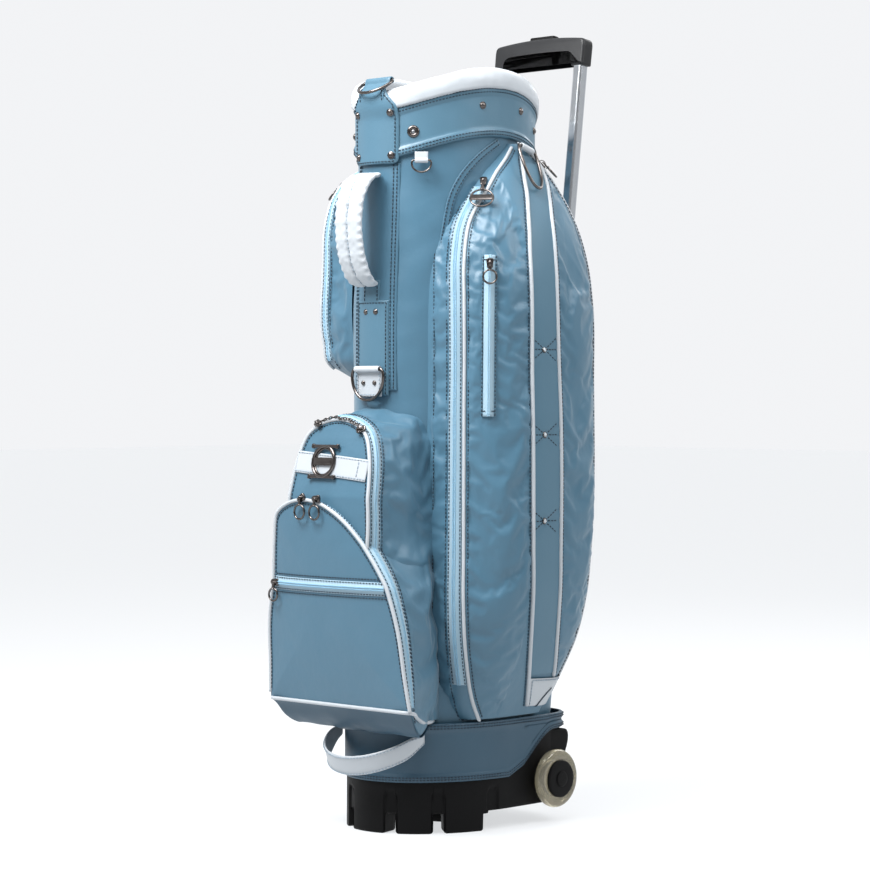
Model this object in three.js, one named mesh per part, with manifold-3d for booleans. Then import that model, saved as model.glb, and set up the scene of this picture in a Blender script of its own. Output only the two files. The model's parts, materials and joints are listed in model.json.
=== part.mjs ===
// Wheeled cart golf bag with a telescopic pull handle.
// Millimetres, +Z up.  -Y is the front (carry handle and ball pocket), +Y the back
// (pull handle and wheels), X runs along the wheel axle.  The origin is the middle of
// the underside of the foot that the bag stands on.
import * as THREE from 'three';
import { mergeVertices } from 'three/addons/utils/BufferGeometryUtils.js';
import Module from 'manifold-3d';

// ---------------------------------------------------------------- driving dimensions
const GAP = 0.4; // clearance between pieces that rest against each other
const AROUND = 32; // points round a large outline

// moulded base: half width, reach to the front, reach to the back, squareness of the back
const BASE = { halfX: 97, front: 131, back: 114, power: 6 };
const BASE_TOP = 118;
const BASE_WALL = 4;
const BASE_FLOOR = [22, 26];
const FOOT_ARC = [-16, -164]; // front feet stand between these bearings, degrees
const FOOT_GAPS = [-42, -71, -109, -138]; // bearings of the gaps between the front feet
const FOOT_GAP_WIDTH = 12;
const FLUTE = { width: 18, top: 49, depth: 2.2, bearings: [-10, -42, -71, -109, -138, -170] };
const MIDDLE_FOOT_RADIUS = 30;
const REAR_FOOT = { halfX: 12, low: 40, high: 62 };
const BAND_THICK = 2.6; // stitched skirt round the base
const BAND_HIGH = 124;

// barrel: fabric over a stiff sheet
const BARREL_LOW = 28;
const BARREL_WALL = 3;
const BARREL_WIDE = { halfX: 92, front: 121.5, back: 115.5 };
const BARREL_NECK = { halfX: 87.5, front: 115.5, back: 115.5 };
const NECK_SPAN = [560, 780]; // the barrel narrows to the neck between these heights
const RIM = { bandLow: 788.5, bandHigh: 846, cuffTop: 868 }; // heights at the sides
const RIM_PEAK_Y = -5;
const RIM_DIP = 0.0024; // the rim falls by this much times the squared distance from its peak

// telescopic handle, measured along the lean of its tubes
const TUBE_FOOT = { y: 65, z: 60 };
const TUBE_LEAN = 7.1; // degrees back from upright
const TUBE_X = 62;
const OUTER_TUBE = { x: 17, y: 18, wall: 1.4, low: 0, high: 560 };
const INNER_TUBE = { x: 13, y: 14, wall: 1.3, low: 500, high: 845 };
const GRIP = { low: 833, barLow: 847, high: 870, halfX: 72, socketX: 53, depth: 19 };
const BUTTON = { halfX: 20, depth: 12, high: 873.5 };
const YOKE = { low: 852, high: 857, depth: 6 };
const ROD_RADIUS = 2;
const LOCK_PIN = { radius: 2.4, at: 508 };

// wheels
const WHEEL = { x: 108, y: 71, z: 50, radius: 33.5, tyreWidth: 13, hubWidth: 19, hubRadius: 21.5 };
const AXLE_RADIUS = 4;
const FENDER = { inner: 76, outer: 95.5, radius: 40 };
const FENDER_BLOCK = { front: 66, back: 108, low: 84, high: 104 };

// rings, tabs and zips
const RING_WIRE = 1.8;
const PULL_WIRE = 1;

// ---------------------------------------------------------------- small maths
const radians = THREE.MathUtils.degToRad;
const lerp = THREE.MathUtils.lerp;
const smoothstep = THREE.MathUtils.smoothstep;
const TUBE_SLOPE = Math.tan(radians(TUBE_LEAN));
const signedPower = (value, power) => Math.sign(value) * Math.abs(value) ** power;

/** Point of an outline that is an ellipse in front and a squarer curve behind. */
function outlinePoint(angle, size, grow = 0) {
  const cos = Math.cos(angle);
  const sin = Math.sin(angle);
  const power = sin > 0 ? 2 / size.power : 1;
  const reach = sin > 0 ? size.back : size.front;
  return new THREE.Vector2(
    (size.halfX + grow) * signedPower(cos, power),
    (reach + grow) * signedPower(sin, power),
  );
}

/** Height of a saddle-shaped edge at depth y: highest at the sides, lower front and back. */
const rimHeight = (sideHeight) => (y) => sideHeight - RIM_DIP * (y - RIM_PEAK_Y) ** 2;
const bandLow = rimHeight(RIM.bandLow);
const bandHigh = rimHeight(RIM.bandHigh);
const cuffTop = rimHeight(RIM.cuffTop);

/** Size of the barrel's outline at height z; its back leans forward below the tubes. */
function barrelSize(z) {
  const neck = smoothstep(z, ...NECK_SPAN);
  const back = lerp(BARREL_WIDE.back, BARREL_NECK.back, neck);
  const lean = TUBE_FOOT.y + (z - TUBE_FOOT.z) * TUBE_SLOPE - 16;
  return {
    halfX: lerp(BARREL_WIDE.halfX, BARREL_NECK.halfX, neck),
    front: lerp(BARREL_WIDE.front, BARREL_NECK.front, neck),
    back: Math.min(back, lean),
    power: lerp(4, 2, smoothstep(z, 60, 640)),
  };
}

/** Size of the outline of the cover behind the barrel that holds the lower tubes. */
function coverSize(z) {
  const rise = (z - 119) / 481;
  return { halfX: lerp(88, 86, rise), front: 20, back: lerp(106, 150, rise), power: lerp(6, 9, rise) };
}

// ---------------------------------------------------------------- geometry makers
function geometryFrom(points, index) {
  const geometry = new THREE.BufferGeometry();
  const values = points.flatMap((p) => [p.x, p.y, p.z]);
  geometry.setAttribute('position', new THREE.Float32BufferAttribute(values, 3));
  geometry.setIndex(index);
  return geometry;
}

function signedVolume(points, index) {
  let sum = 0;
  for (let i = 0; i < index.length; i += 3) {
    const [a, b, c] = [points[index[i]], points[index[i + 1]], points[index[i + 2]]];
    sum += a.dot(b.clone().cross(c));
  }
  return sum / 6;
}

function outward(points, index) {
  return signedVolume(points, index) < 0 ? index.reverse() : index;
}

/** Closed solid through a stack of rings with equal point counts, capped at its middle. */
function loft(rings) {
  const count = rings[0].length;
  const points = rings.flat();
  const index = [];
  for (let level = 0; level < rings.length - 1; level += 1) {
    for (let i = 0; i < count; i += 1) {
      const a = level * count + i;
      const b = level * count + ((i + 1) % count);
      index.push(a, b, b + count, a, b + count, a + count);
    }
  }
  for (const [ring, first, flip] of [[rings[0], 0, true], [rings.at(-1), points.length - count, false]]) {
    const middle = ring.reduce((sum, p) => sum.add(p), new THREE.Vector3()).divideScalar(count);
    const centre = points.push(middle) - 1;
    for (let i = 0; i < count; i += 1) {
      const edge = [first + i, first + ((i + 1) % count)];
      if (flip) edge.reverse();
      index.push(...edge, centre);
    }
  }
  return geometryFrom(points, outward(points, index));
}

/** Closed band round an outline; profile gives [growth, height(y)] corners of its section. */
function hoop(sizeAt, profile) {
  const points = [];
  for (let i = 0; i < AROUND; i += 1) {
    const angle = (i / AROUND) * 2 * Math.PI;
    for (const [grow, height] of profile) {
      const size = typeof sizeAt === 'function' ? sizeAt(height(0)) : sizeAt;
      const p = outlinePoint(angle, size, grow);
      points.push(new THREE.Vector3(p.x, p.y, height(p.y)));
    }
  }
  const count = profile.length;
  const index = [];
  for (let i = 0; i < AROUND; i += 1) {
    for (let j = 0; j < count; j += 1) {
      const next = ((i + 1) % AROUND) * count;
      const [a, b] = [i * count + j, i * count + ((j + 1) % count)];
      const [c, d] = [next + ((j + 1) % count), next + j];
      index.push(a, b, c, a, c, d);
    }
  }
  return geometryFrom(points, outward(points, index));
}

/** Solid between heights that follows a size function; levels may be heights or height(y). */
function outlineSolid(sizeAt, levels, grow = 0) {
  return loft(levels.map((level) => {
    const height = typeof level === 'function' ? level : () => level;
    const size = sizeAt(height(0));
    return Array.from({ length: AROUND }, (unused, i) => {
      const p = outlinePoint((i / AROUND) * 2 * Math.PI, size, grow);
      return new THREE.Vector3(p.x, p.y, height(p.y));
    });
  }));
}

const wasm = await Module();
wasm.setup();

function toSolid(geometry) {
  const bare = geometry.clone();
  bare.deleteAttribute('normal');
  bare.deleteAttribute('uv');
  const merged = mergeVertices(bare, 1e-4);
  const source = merged.index.array;
  const triVerts = [];
  for (let i = 0; i < source.length; i += 3) {
    const [a, b, c] = source.subarray(i, i + 3);
    if (a !== b && b !== c && c !== a) triVerts.push(a, b, c);
  }
  return new wasm.Manifold(new wasm.Mesh({
    numProp: 3,
    vertProperties: new Float32Array(merged.attributes.position.array),
    triVerts: new Uint32Array(triVerts),
  }));
}

function toGeometry(solid) {
  const mesh = solid.getMesh();
  const geometry = new THREE.BufferGeometry();
  geometry.setAttribute('position', new THREE.BufferAttribute(mesh.vertProperties, 3));
  geometry.setIndex(new THREE.BufferAttribute(mesh.triVerts, 1));
  return geometry;
}

const combine = (method, first, rest) => toGeometry(
  rest.reduce((solid, next) => solid[method](toSolid(next)), toSolid(first)),
);
const cut = (first, ...rest) => combine('subtract', first, rest);
const join = (first, ...rest) => combine('add', first, rest);
const common = (first, ...rest) => combine('intersect', first, rest);

function box(sizeX, sizeY, sizeZ, x = 0, y = 0, z = 0) {
  return new THREE.BoxGeometry(sizeX, sizeY, sizeZ).translate(x, y, z);
}

/** Box from its lowest corner to its highest corner. */
function boxBetween(low, high) {
  const size = high.map((value, i) => value - low[i]);
  return box(...size, ...low.map((value, i) => value + size[i] / 2));
}

/** Cylinder along X, Y or Z, centred on a point. */
function rod(axis, radius, length, sides, x = 0, y = 0, z = 0) {
  const geometry = new THREE.CylinderGeometry(radius, radius, length, sides);
  if (axis === 'x') geometry.rotateZ(Math.PI / 2);
  if (axis === 'z') geometry.rotateX(Math.PI / 2);
  return geometry.translate(x, y, z);
}

/** Rounded rectangle outline, sizeX by sizeY, centred. */
function roundedOutline(sizeX, sizeY, radius, PathType = THREE.Shape) {
  const [x, y] = [sizeX / 2 - radius, sizeY / 2 - radius];
  const path = new PathType();
  path.absarc(x, y, radius, 0, Math.PI / 2);
  path.absarc(-x, y, radius, Math.PI / 2, Math.PI);
  path.absarc(-x, -y, radius, Math.PI, Math.PI * 1.5);
  path.absarc(x, -y, radius, Math.PI * 1.5, Math.PI * 2);
  path.closePath();
  return path;
}

function extrude(shape, depth, curveSegments = 4) {
  return new THREE.ExtrudeGeometry(shape, { depth, curveSegments, bevelEnabled: false });
}

/** Extrusion of an outline given in X and Z, running along +Y from y. */
function plateXZ(shape, y, depth, curveSegments = 6) {
  return extrude(shape, depth, curveSegments).rotateX(Math.PI / 2).translate(0, y + depth, 0);
}

/** Extrusion of an outline given in Y and Z, centred on X. */
function plateYZ(shape, width, x = 0, curveSegments = 8) {
  const turn = new THREE.Matrix4().makeBasis(
    new THREE.Vector3(0, 1, 0),
    new THREE.Vector3(0, 0, 1),
    new THREE.Vector3(1, 0, 0),
  );
  return extrude(shape, width, curveSegments).applyMatrix4(turn).translate(x - width / 2, 0, 0);
}

/** Endless tube of round wire along a closed curve. */
function wireLoop(points, radius, steps, sides = 6) {
  const curve = new THREE.CatmullRomCurve3(points, true, 'centripetal');
  return new THREE.TubeGeometry(curve, steps, radius, sides, true);
}

// ---------------------------------------------------------------- materials
const material = (color, roughness, metalness = 0) => () => (
  new THREE.MeshStandardMaterial({ color, roughness, metalness })
);
const blueFabric = material(0x6f9db8, 0.6);
const blueLeather = material(0x7aa5bf, 0.5);
const whiteTrim = material(0xeef2f5, 0.45);
const blackPlastic = material(0x1d1d20, 0.5);
const greyPlastic = material(0x3c3c40, 0.55);
const aluminium = material(0xc8ccd0, 0.25, 1);
const gunmetal = material(0x4a4340, 0.3, 1);
const steel = material(0x9a9da0, 0.35, 1);
const clearTyre = material(0xd9cfa8, 0.12);
const lining = material(0x2c3338, 0.9);

// ---------------------------------------------------------------- scene graph
const bag = new THREE.Group();

function place(name, geometry, makeMaterial, parent = bag) {
  const mesh = new THREE.Mesh(geometry, makeMaterial());
  mesh.name = name;
  parent.add(mesh);
  return mesh;
}

/**
 * Group whose own -Y faces the bearing.  Lean swings what hangs below it outward, and
 * tilt lowers the end that lies to the right when it is seen from outside.
 */
function fixture({ at, bearing = -90, lean = 0, tilt = 0 }) {
  const group = new THREE.Group();
  group.position.set(...at);
  group.rotation.set(-radians(lean), radians(tilt), radians(bearing + 90), 'ZYX');
  bag.add(group);
  return group;
}

// ---------------------------------------------------------------- base and wheels
const bandEdge = (y) => lerp(58, 106, smoothstep(y, 0, 78));

function baseSolid(grow, low, high) {
  return outlineSolid(() => BASE, [low, high], grow);
}

function footGap(bearing) {
  const angle = radians(bearing);
  const edge = outlinePoint(angle, BASE);
  const slot = boxBetween([-FOOT_GAP_WIDTH / 2, -30, -1], [FOOT_GAP_WIDTH / 2, 30, BASE_FLOOR[0]]);
  return slot.rotateZ(Math.atan2(edge.y, edge.x) + Math.PI / 2).translate(edge.x, edge.y, 0);
}

/** Shallow round-topped groove in the outside of the base wall. */
function flute(bearing) {
  const edge = outlinePoint(radians(bearing), BASE);
  const { width, top, depth } = FLUTE;
  const groove = roundedOutline(width, 2 * top, width / 2 - 0.1);
  const beyond = 30;
  const facing = Math.atan2(edge.y / BASE.front ** 2, edge.x / BASE.halfX ** 2);
  return plateXZ(groove, -beyond, beyond + depth, 3)
    .rotateZ(facing + Math.PI / 2)
    .translate(edge.x, edge.y, 0);
}

function frontFeet() {
  const ring = cut(baseSolid(-1, 0, BASE_FLOOR[0] + 1), baseSolid(-24, -1, BASE_FLOOR[0] + 2));
  const reach = 200;
  const sector = new THREE.Shape([new THREE.Vector2(0, 0)]);
  const steps = 6;
  for (let i = 0; i <= steps; i += 1) {
    const angle = radians(lerp(FOOT_ARC[1], FOOT_ARC[0], i / steps));
    sector.lineTo(reach * Math.cos(angle), reach * Math.sin(angle));
  }
  return cut(common(ring, extrude(sector, BASE_FLOOR[1])), ...FOOT_GAPS.map(footGap));
}

function makeBase() {
  const { y, z } = WHEEL;
  const tub = cut(baseSolid(0, BASE_FLOOR[0], BASE_TOP), baseSolid(-BASE_WALL, BASE_FLOOR[1], BASE_TOP + 1));
  const footHigh = BASE_FLOOR[0] + 1;
  const middleFoot = rod('z', MIDDLE_FOOT_RADIUS, footHigh, 24, 0, 0, footHigh / 2);
  const rear = REAR_FOOT;
  const rearFoot = boxBetween([-rear.halfX, rear.low, 0], [rear.halfX, rear.high, footHigh]);
  const { inner, outer, radius } = FENDER;
  const { front, back, low, high } = FENDER_BLOCK;
  const aboveFloor = boxBetween([-outer, y - radius, BASE_FLOOR[0] + 2], [outer, y + radius, z + radius]);
  const fender = (side) => {
    const x = side * (outer + inner) / 2;
    return join(
      common(rod('x', radius, outer - inner, 24, x, y, z), aboveFloor),
      box(outer - inner, back - front, high - low, x, (front + back) / 2, (low + high) / 2),
    );
  };
  const cavity = baseSolid(0.5 - BASE_WALL, BASE_FLOOR[0] + 1, BASE_TOP + 1);
  const shell = join(tub, frontFeet(), middleFoot, rearFoot, cut(join(fender(1), fender(-1)), cavity));
  const axleHole = rod('x', AXLE_RADIUS + GAP, 260, 16, 0, y, z);
  place('base_shell', cut(shell, axleHole, ...FLUTE.bearings.map(flute)), blackPlastic);

  const skirt = hoop(BASE, [
    [GAP, bandEdge],
    [BAND_THICK, bandEdge],
    [BAND_THICK, () => BAND_HIGH],
    [GAP, () => BAND_HIGH],
  ]);
  place('base_band', skirt, blueLeather);
}

function tyreProfile() {
  const { radius, tyreWidth, hubRadius } = WHEEL;
  const half = tyreWidth / 2;
  const inner = hubRadius + 0.3;
  return [
    [inner, -half], [radius - 6, -half], [radius - 1.4, -half + 3], [radius, 0],
    [radius - 1.4, half - 3], [radius - 6, half], [inner, half], [inner, -half],
  ].map(([r, h]) => new THREE.Vector2(r, h));
}

function hubProfile() {
  const { hubWidth, hubRadius } = WHEEL;
  const half = hubWidth / 2;
  const bore = AXLE_RADIUS + 0.3;
  return [
    [bore, -half], [hubRadius, -half], [hubRadius, half - 1.5], [hubRadius - 1.5, half],
    [bore, half], [bore, -half],
  ].map(([r, h]) => new THREE.Vector2(r, h));
}

function makeWheels() {
  const { x, y, z, hubWidth } = WHEEL;
  for (const [side, label] of [[-1, 'left'], [1, 'right']]) {
    const wheel = new THREE.Group();
    wheel.position.set(side * x, y, z);
    wheel.rotation.z = (-side * Math.PI) / 2;
    bag.add(wheel);
    place(`wheel_tyre_${label}`, new THREE.LatheGeometry(tyreProfile(), 24), clearTyre, wheel);
    place(`wheel_hub_${label}`, new THREE.LatheGeometry(hubProfile(), 24), blackPlastic, wheel);
    const cap = rod('x', 9, 2.4, 16, side * (x + hubWidth / 2 + 1.6), y, z);
    place(`axle_cap_${label}`, cap, blackPlastic);
  }
  place('wheel_axle', rod('x', AXLE_RADIUS, 2 * (x + hubWidth / 2), 16, 0, y, z), steel);
}

// ---------------------------------------------------------------- barrel and top
const BARREL_LEVELS = [120, 300, 460, 560, 616, 670, 730, 780];

function barrelSolid(grow, low = BARREL_LOW, high = 900) {
  const levels = [low, ...BARREL_LEVELS.filter((level) => level > low && level < high), high];
  return outlineSolid(barrelSize, levels, grow);
}

function makeBarrel() {
  const rim = (y) => bandHigh(y) - GAP;
  const outer = outlineSolid(barrelSize, [BARREL_LOW, ...BARREL_LEVELS, rim]);
  place('body_shell', cut(outer, barrelSolid(-BARREL_WALL, BARREL_LOW - 1)), blueFabric);

  const collar = hoop(barrelSize, [
    [GAP, bandLow], [3, bandLow], [3, bandHigh], [GAP, bandHigh],
  ]);
  place('collar_band', collar, blueLeather);

  const part = (share) => (y) => lerp(bandHigh(y) + GAP, cuffTop(y), share);
  const neck = { ...BARREL_NECK, power: 2 };
  const cuff = hoop(neck, [
    [3, part(0)], [6, part(0.25)], [6.5, part(0.55)], [3, part(0.87)], [-5, part(1)], [-13, part(0.85)],
    [-15, part(0.4)], [-8, part(-1.2)], [-3.6, part(-1.4)], [-3.6, part(0)],
  ]);
  place('cuff_pad', cuff, whiteTrim);
}

function makeDividers() {
  const neck = { ...BARREL_NECK, power: 2 };
  const [low, high] = [806, 832];
  const inner = outlineSolid(() => neck, [low - 1, high + 1], -21);
  const cells = [[-120, -35.5], [-28.5, 28.5], [35.5, 120]].flatMap(([front, back]) => [
    boxBetween([-100, front, low - 2], [-3.5, back, high + 2]),
    boxBetween([3.5, front, low - 2], [100, back, high + 2]),
  ]);
  const disc = outlineSolid(() => neck, [low, high], -16);
  place('top_divider', cut(disc, ...cells.map((cell) => common(cell, inner))), lining);

  const side = new THREE.Shape();
  side.moveTo(-104, 130).lineTo(46, 130).lineTo(100, 560).lineTo(100, 804).lineTo(-104, 804);
  const sheets = [-32, 32].map((y) => boxBetween([-76, y - 0.8, 130], [76, y + 0.8, 804]));
  place('club_divider', join(plateYZ(side, 1.6), ...sheets), lining);
  for (const [sign, label] of [[-1, 'left'], [1, 'right']]) {
    place(`stay_${label}`, box(2.4, 16, 770, sign * 82, 0, 415), greyPlastic);
  }
}

// ---------------------------------------------------------------- telescopic handle
const tower = new THREE.Group();
tower.position.set(0, TUBE_FOOT.y, TUBE_FOOT.z);
tower.rotation.x = -radians(TUBE_LEAN);
bag.add(tower);

/** Matrix from the leaning frame of the tubes to the frame of the bag. */
const towerMatrix = new THREE.Matrix4().compose(
  tower.position,
  new THREE.Quaternion().setFromEuler(tower.rotation),
  new THREE.Vector3(1, 1, 1),
);

function tube({ x, y, wall, low, high }, atX) {
  const shape = roundedOutline(x, y, 3);
  shape.holes.push(roundedOutline(x - 2 * wall, y - 2 * wall, 1.7, THREE.Path));
  return extrude(shape, high - low, 2).translate(atX, 0, low);
}

function tubeBlock(grow, low, high) {
  return [-1, 1].map((side) => box(
    OUTER_TUBE.x + 2 * grow, OUTER_TUBE.y + 2 * grow, high - low, side * TUBE_X, 0, (low + high) / 2,
  ));
}

function makeBrackets() {
  const lower = extrude(roundedOutline(2 * TUBE_X + 26, 27, 5), 46, 3).translate(0, 0, -20);
  const axleLocal = new THREE.Vector3(0, WHEEL.y, WHEEL.z).applyMatrix4(towerMatrix.clone().invert());
  const bore = rod('x', AXLE_RADIUS + GAP, 200, 16, 0, axleLocal.y, axleLocal.z);
  place('trolley_lower_bracket', cut(lower, ...tubeBlock(GAP, -0.4, 30), bore), blackPlastic, tower);

  const upper = extrude(roundedOutline(2 * TUBE_X + 27, 28, 6), 30, 3).translate(0, 0, 545);
  const throats = [-1, 1].map((side) => box(INNER_TUBE.x + 1, INNER_TUBE.y + 1, 40, side * TUBE_X, 0, 570));
  const sockets = tubeBlock(GAP, 540, OUTER_TUBE.high + GAP);
  place('trolley_upper_bracket', cut(upper, ...sockets, ...throats), blackPlastic, tower);
}

function makeTubes() {
  for (const [side, label] of [[-1, 'left'], [1, 'right']]) {
    const outer = tube(OUTER_TUBE, side * TUBE_X);
    const lockHoles = [300, LOCK_PIN.at].map((at) => rod('x', 3, 6, 8, side * (TUBE_X + 8), 0, at));
    place(`outer_tube_${label}`, cut(outer, ...lockHoles), aluminium, tower);

    const pinX = side * (TUBE_X + 4);
    const pinHole = rod('x', 2.8, 6, 8, side * (TUBE_X + 6), 0, LOCK_PIN.at);
    place(`inner_tube_${label}`, cut(tube(INNER_TUBE, side * TUBE_X), pinHole), aluminium, tower);
    place(`lock_pin_${label}`, rod('x', LOCK_PIN.radius, 5.6, 8, pinX, 0, LOCK_PIN.at), steel, tower);
    const rodLow = LOCK_PIN.at + LOCK_PIN.radius + 5;
    const rodHigh = YOKE.low - GAP;
    const release = rod('z', ROD_RADIUS, rodHigh - rodLow, 8, side * TUBE_X, 0, (rodHigh + rodLow) / 2);
    place(`release_rod_${label}`, release, steel, tower);
  }
}

function makeGrip() {
  const outline = new THREE.Shape();
  const { halfX, socketX, low, barLow, high, depth } = GRIP;
  outline.moveTo(-halfX + 1, low).lineTo(-socketX, low).lineTo(-socketX + 1, barLow - 2)
    .lineTo(-socketX + 5, barLow).quadraticCurveTo(0, barLow + 3, socketX - 5, barLow)
    .lineTo(socketX - 1, barLow - 2).lineTo(socketX, low)
    .lineTo(halfX - 1, low).lineTo(halfX, high - 10).quadraticCurveTo(halfX, high - 5, halfX - 6, high - 4)
    .quadraticCurveTo(0, high + 4, -halfX + 6, high - 4)
    .quadraticCurveTo(-halfX, high - 5, -halfX, high - 10);
  const body = plateXZ(outline, -depth / 2, depth, 5);
  const sockets = [-1, 1].map((side) => box(
    INNER_TUBE.x + 2 * GAP, INNER_TUBE.y + 2 * GAP, 30, side * TUBE_X, 0, INNER_TUBE.high + GAP - 15,
  ));
  const slot = boxBetween([-67, -4.5, YOKE.low - 5], [67, 4.5, YOKE.high + 2]);
  const wells = [-1, 1].map((side) => box(9, 9, 12, side * TUBE_X, 0, 848));
  const { halfX: buttonX, depth: buttonY } = BUTTON;
  const [mouthX, mouthY] = [buttonX + 0.5, buttonY / 2 + 0.5];
  const mouth = boxBetween([-mouthX, -mouthY, YOKE.low], [mouthX, mouthY, 890]);
  place('grip_body', cut(body, ...sockets, ...wells, slot, mouth), greyPlastic, tower);

  const plate = extrude(roundedOutline(84, 13, 3), 1.4, 3).translate(0, 0, barLow - GAP - 1.4);
  place('grip_plate', plate, aluminium, tower);
  const cap = extrude(roundedOutline(2 * buttonX, buttonY, 3), BUTTON.high - YOKE.high - GAP, 3);
  place('release_button', cap.translate(0, 0, YOKE.high + GAP), blackPlastic, tower);
  const yoke = box(2 * TUBE_X + 6, YOKE.depth, YOKE.high - YOKE.low, 0, 0, (YOKE.high + YOKE.low) / 2);
  place('release_yoke', yoke, greyPlastic, tower);
}

function coverSolid(grow) {
  return outlineSolid(coverSize, [119, 280, 440, 600], grow);
}

function makeSpineCover() {
  const channels = tubeBlock(1, -60, 640).map((block) => block.applyMatrix4(towerMatrix));
  const bracketRoom = box(2 * TUBE_X + 30, 31, 60, 0, 0, 572).applyMatrix4(towerMatrix);
  place('spine_cover', cut(coverSolid(0), barrelSolid(0.6), ...channels, bracketRoom), blueFabric);
}

// ---------------------------------------------------------------- pockets
/** Section of a side pocket: rounded towards the front, squarer towards the back. */
function sideRing([z, reach, front, back], sign, grow) {
  const spine = 60;
  const steps = 20;
  const middle = (front + back) / 2;
  const half = (back - front) / 2 + grow;
  return Array.from({ length: steps + 1 }, (unused, i) => {
    const angle = lerp(-Math.PI / 2, Math.PI / 2, i / steps);
    const power = angle < 0 ? 2 / 3 : 2 / 7;
    const x = spine + (reach + grow - spine) * Math.cos(angle) ** power;
    return new THREE.Vector3(sign * x, middle + half * signedPower(Math.sin(angle), power), z);
  });
}

// each row: height, reach from the middle of the bag, front edge, back edge
const RIGHT_POCKET = [
  [127, 100, -62, 60], [170, 122, -81, 72], [215, 139, -95, 86], [260, 149, -100, 94],
  [320, 155, -98, 98], [510, 157, -92, 100], [600, 156, -91, 99], [645, 151, -86, 95],
  [685, 141, -72, 87], [717, 127, -50, 77], [748, 111, -27, 61], [768, 100, -6, 45], [782, 93, 8, 30],
];
const LEFT_UPPER_POCKET = [
  [514, 108, -72, 60], [528, 136, -86, 80], [556, 148, -92, 92], [640, 149, -93, 95],
  [700, 146, -88, 88], [724, 140, -80, 80], [750, 122, -60, 66], [768, 100, -25, 45],
];
const LEFT_LOWER_POCKET = [
  [127, 100, -62, 60], [160, 118, -78, 75], [230, 132, -84, 88], [330, 134, -82, 92],
  [365, 122, -76, 84], [385, 100, -60, 60],
];

function sidePocket(rows, sign, grow = 0) {
  return loft(rows.map((row) => sideRing(row, sign, grow)));
}

/** Arched outline in X and Z: [half width, height] rows from the bottom up. */
function archRing(rows, depthAt) {
  const right = rows.map(([x, z]) => new THREE.Vector3(x, depthAt(z), z));
  const left = rows.map(([x, z]) => new THREE.Vector3(-x, depthAt(z), z)).reverse();
  return [...right, ...left];
}

const BALL_POCKET = {
  front: [[112, 147], [109, 180], [102, 240], [87, 291], [66, 338], [50, 359], [26, 372]],
  middle: [[96, 131], [98, 175], [96, 235], [86, 300], [66, 342], [45, 358], [22, 366]],
  back: [[67, 127], [67, 170], [67, 230], [66, 290], [56, 330], [40, 343], [20, 348]],
  face: (z) => -174 - 0.11 * (z - 147),
  sway: (z) => -28 * smoothstep(z, 285, 372), // its top leans towards the left pockets
};
const VALUABLES_POCKET = {
  front: [[63, 345], [63, 368], [61, 398], [56, 426], [45, 450], [22, 463]],
  middle: [[70, 345], [71, 370], [69, 402], [62, 436], [47, 460], [23, 473]],
  back: [[67, 345], [67, 372], [67, 410], [62, 448], [46, 476], [23, 488]],
  face: (z) => -190 + 0.2 * Math.max(0, z - 380),
  sway: () => 0,
};

function frontPocket({ front, middle, back, face, sway }, grow = 0) {
  const spread = (rows) => rows.map(([x, z], i) => [x + grow, z + (i ? grow : -grow)]);
  const swayed = (ring, share) => ring.map((p) => p.clone().setX(p.x + share * sway(p.z)));
  return loft([
    swayed(archRing(spread(front), (z) => face(z) - grow), 1),
    swayed(archRing(spread(middle), () => -138), 0.6),
    archRing(spread(back), () => -80),
  ]);
}

function makePockets() {
  const barrel = barrelSolid(0.6);
  const cover = coverSolid(0.6);
  const ballRoom = frontPocket(BALL_POCKET, GAP);
  const upperRoom = frontPocket(VALUABLES_POCKET, GAP);
  const trim = (geometry) => cut(geometry, barrel, cover, ballRoom, upperRoom);
  place('side_pocket_right', trim(sidePocket(RIGHT_POCKET, 1)), blueFabric);
  place('side_pocket_left_upper', trim(sidePocket(LEFT_UPPER_POCKET, -1)), blueFabric);
  place('side_pocket_left_lower', trim(sidePocket(LEFT_LOWER_POCKET, -1)), blueFabric);
  place('ball_pocket_lower', cut(frontPocket(BALL_POCKET), barrel), blueFabric);
  place('ball_pocket_upper', cut(frontPocket(VALUABLES_POCKET), barrel, ballRoom), blueFabric);
}

// ---------------------------------------------------------------- trims, rings and zips
/** Thin plate that lies on a curved solid: the outline cut from the skin between two growths. */
function skinPlate(shape, solidAt, inner, thick, back = -20) {
  const slab = plateXZ(shape, -230, back + 230);
  return cut(common(slab, solidAt(inner + thick)), solidAt(inner));
}

function makeFrontTrim() {
  const neckSkin = (grow) => barrelSolid(grow, 480, 900);
  const panel = roundedOutline(68, 250, 2);
  place('front_panel', skinPlate(translated(panel, 0, 624), neckSkin, GAP, 1.4), blueLeather);

  const patch = new THREE.Shape();
  patch.moveTo(-33, 761).quadraticCurveTo(-33, 755, -27, 755).lineTo(27, 755)
    .quadraticCurveTo(33, 755, 33, 761).lineTo(33, 812).lineTo(-33, 812);
  place('top_patch', skinPlate(patch, neckSkin, 3.4, 1.8), blueLeather);

  const lug = translated(roundedOutline(26, 40, 6), 0, 592);
  place('handle_lug', skinPlate(lug, neckSkin, GAP + 1.8, 1.6), blueLeather);
}

/** Copy of an outline moved by x and y. */
function translated(shape, x, y) {
  return new THREE.Shape(shape.getPoints(4).slice(0, -1).map((p) => new THREE.Vector2(p.x + x, p.y + y)));
}

function makeCarryHandle() {
  const shape = new THREE.Shape();
  shape.moveTo(-119.5, 748).bezierCurveTo(-140, 751, -163, 735, -164, 688)
    .bezierCurveTo(-164, 642, -146, 614, -126, 613).lineTo(-126, 622)
    .bezierCurveTo(-141, 625, -152, 650, -152.5, 688).bezierCurveTo(-152, 722, -138, 740, -119.5, 737);
  place('carry_handle_pad', plateYZ(shape, 41, 0, 10), whiteTrim);
}

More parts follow.
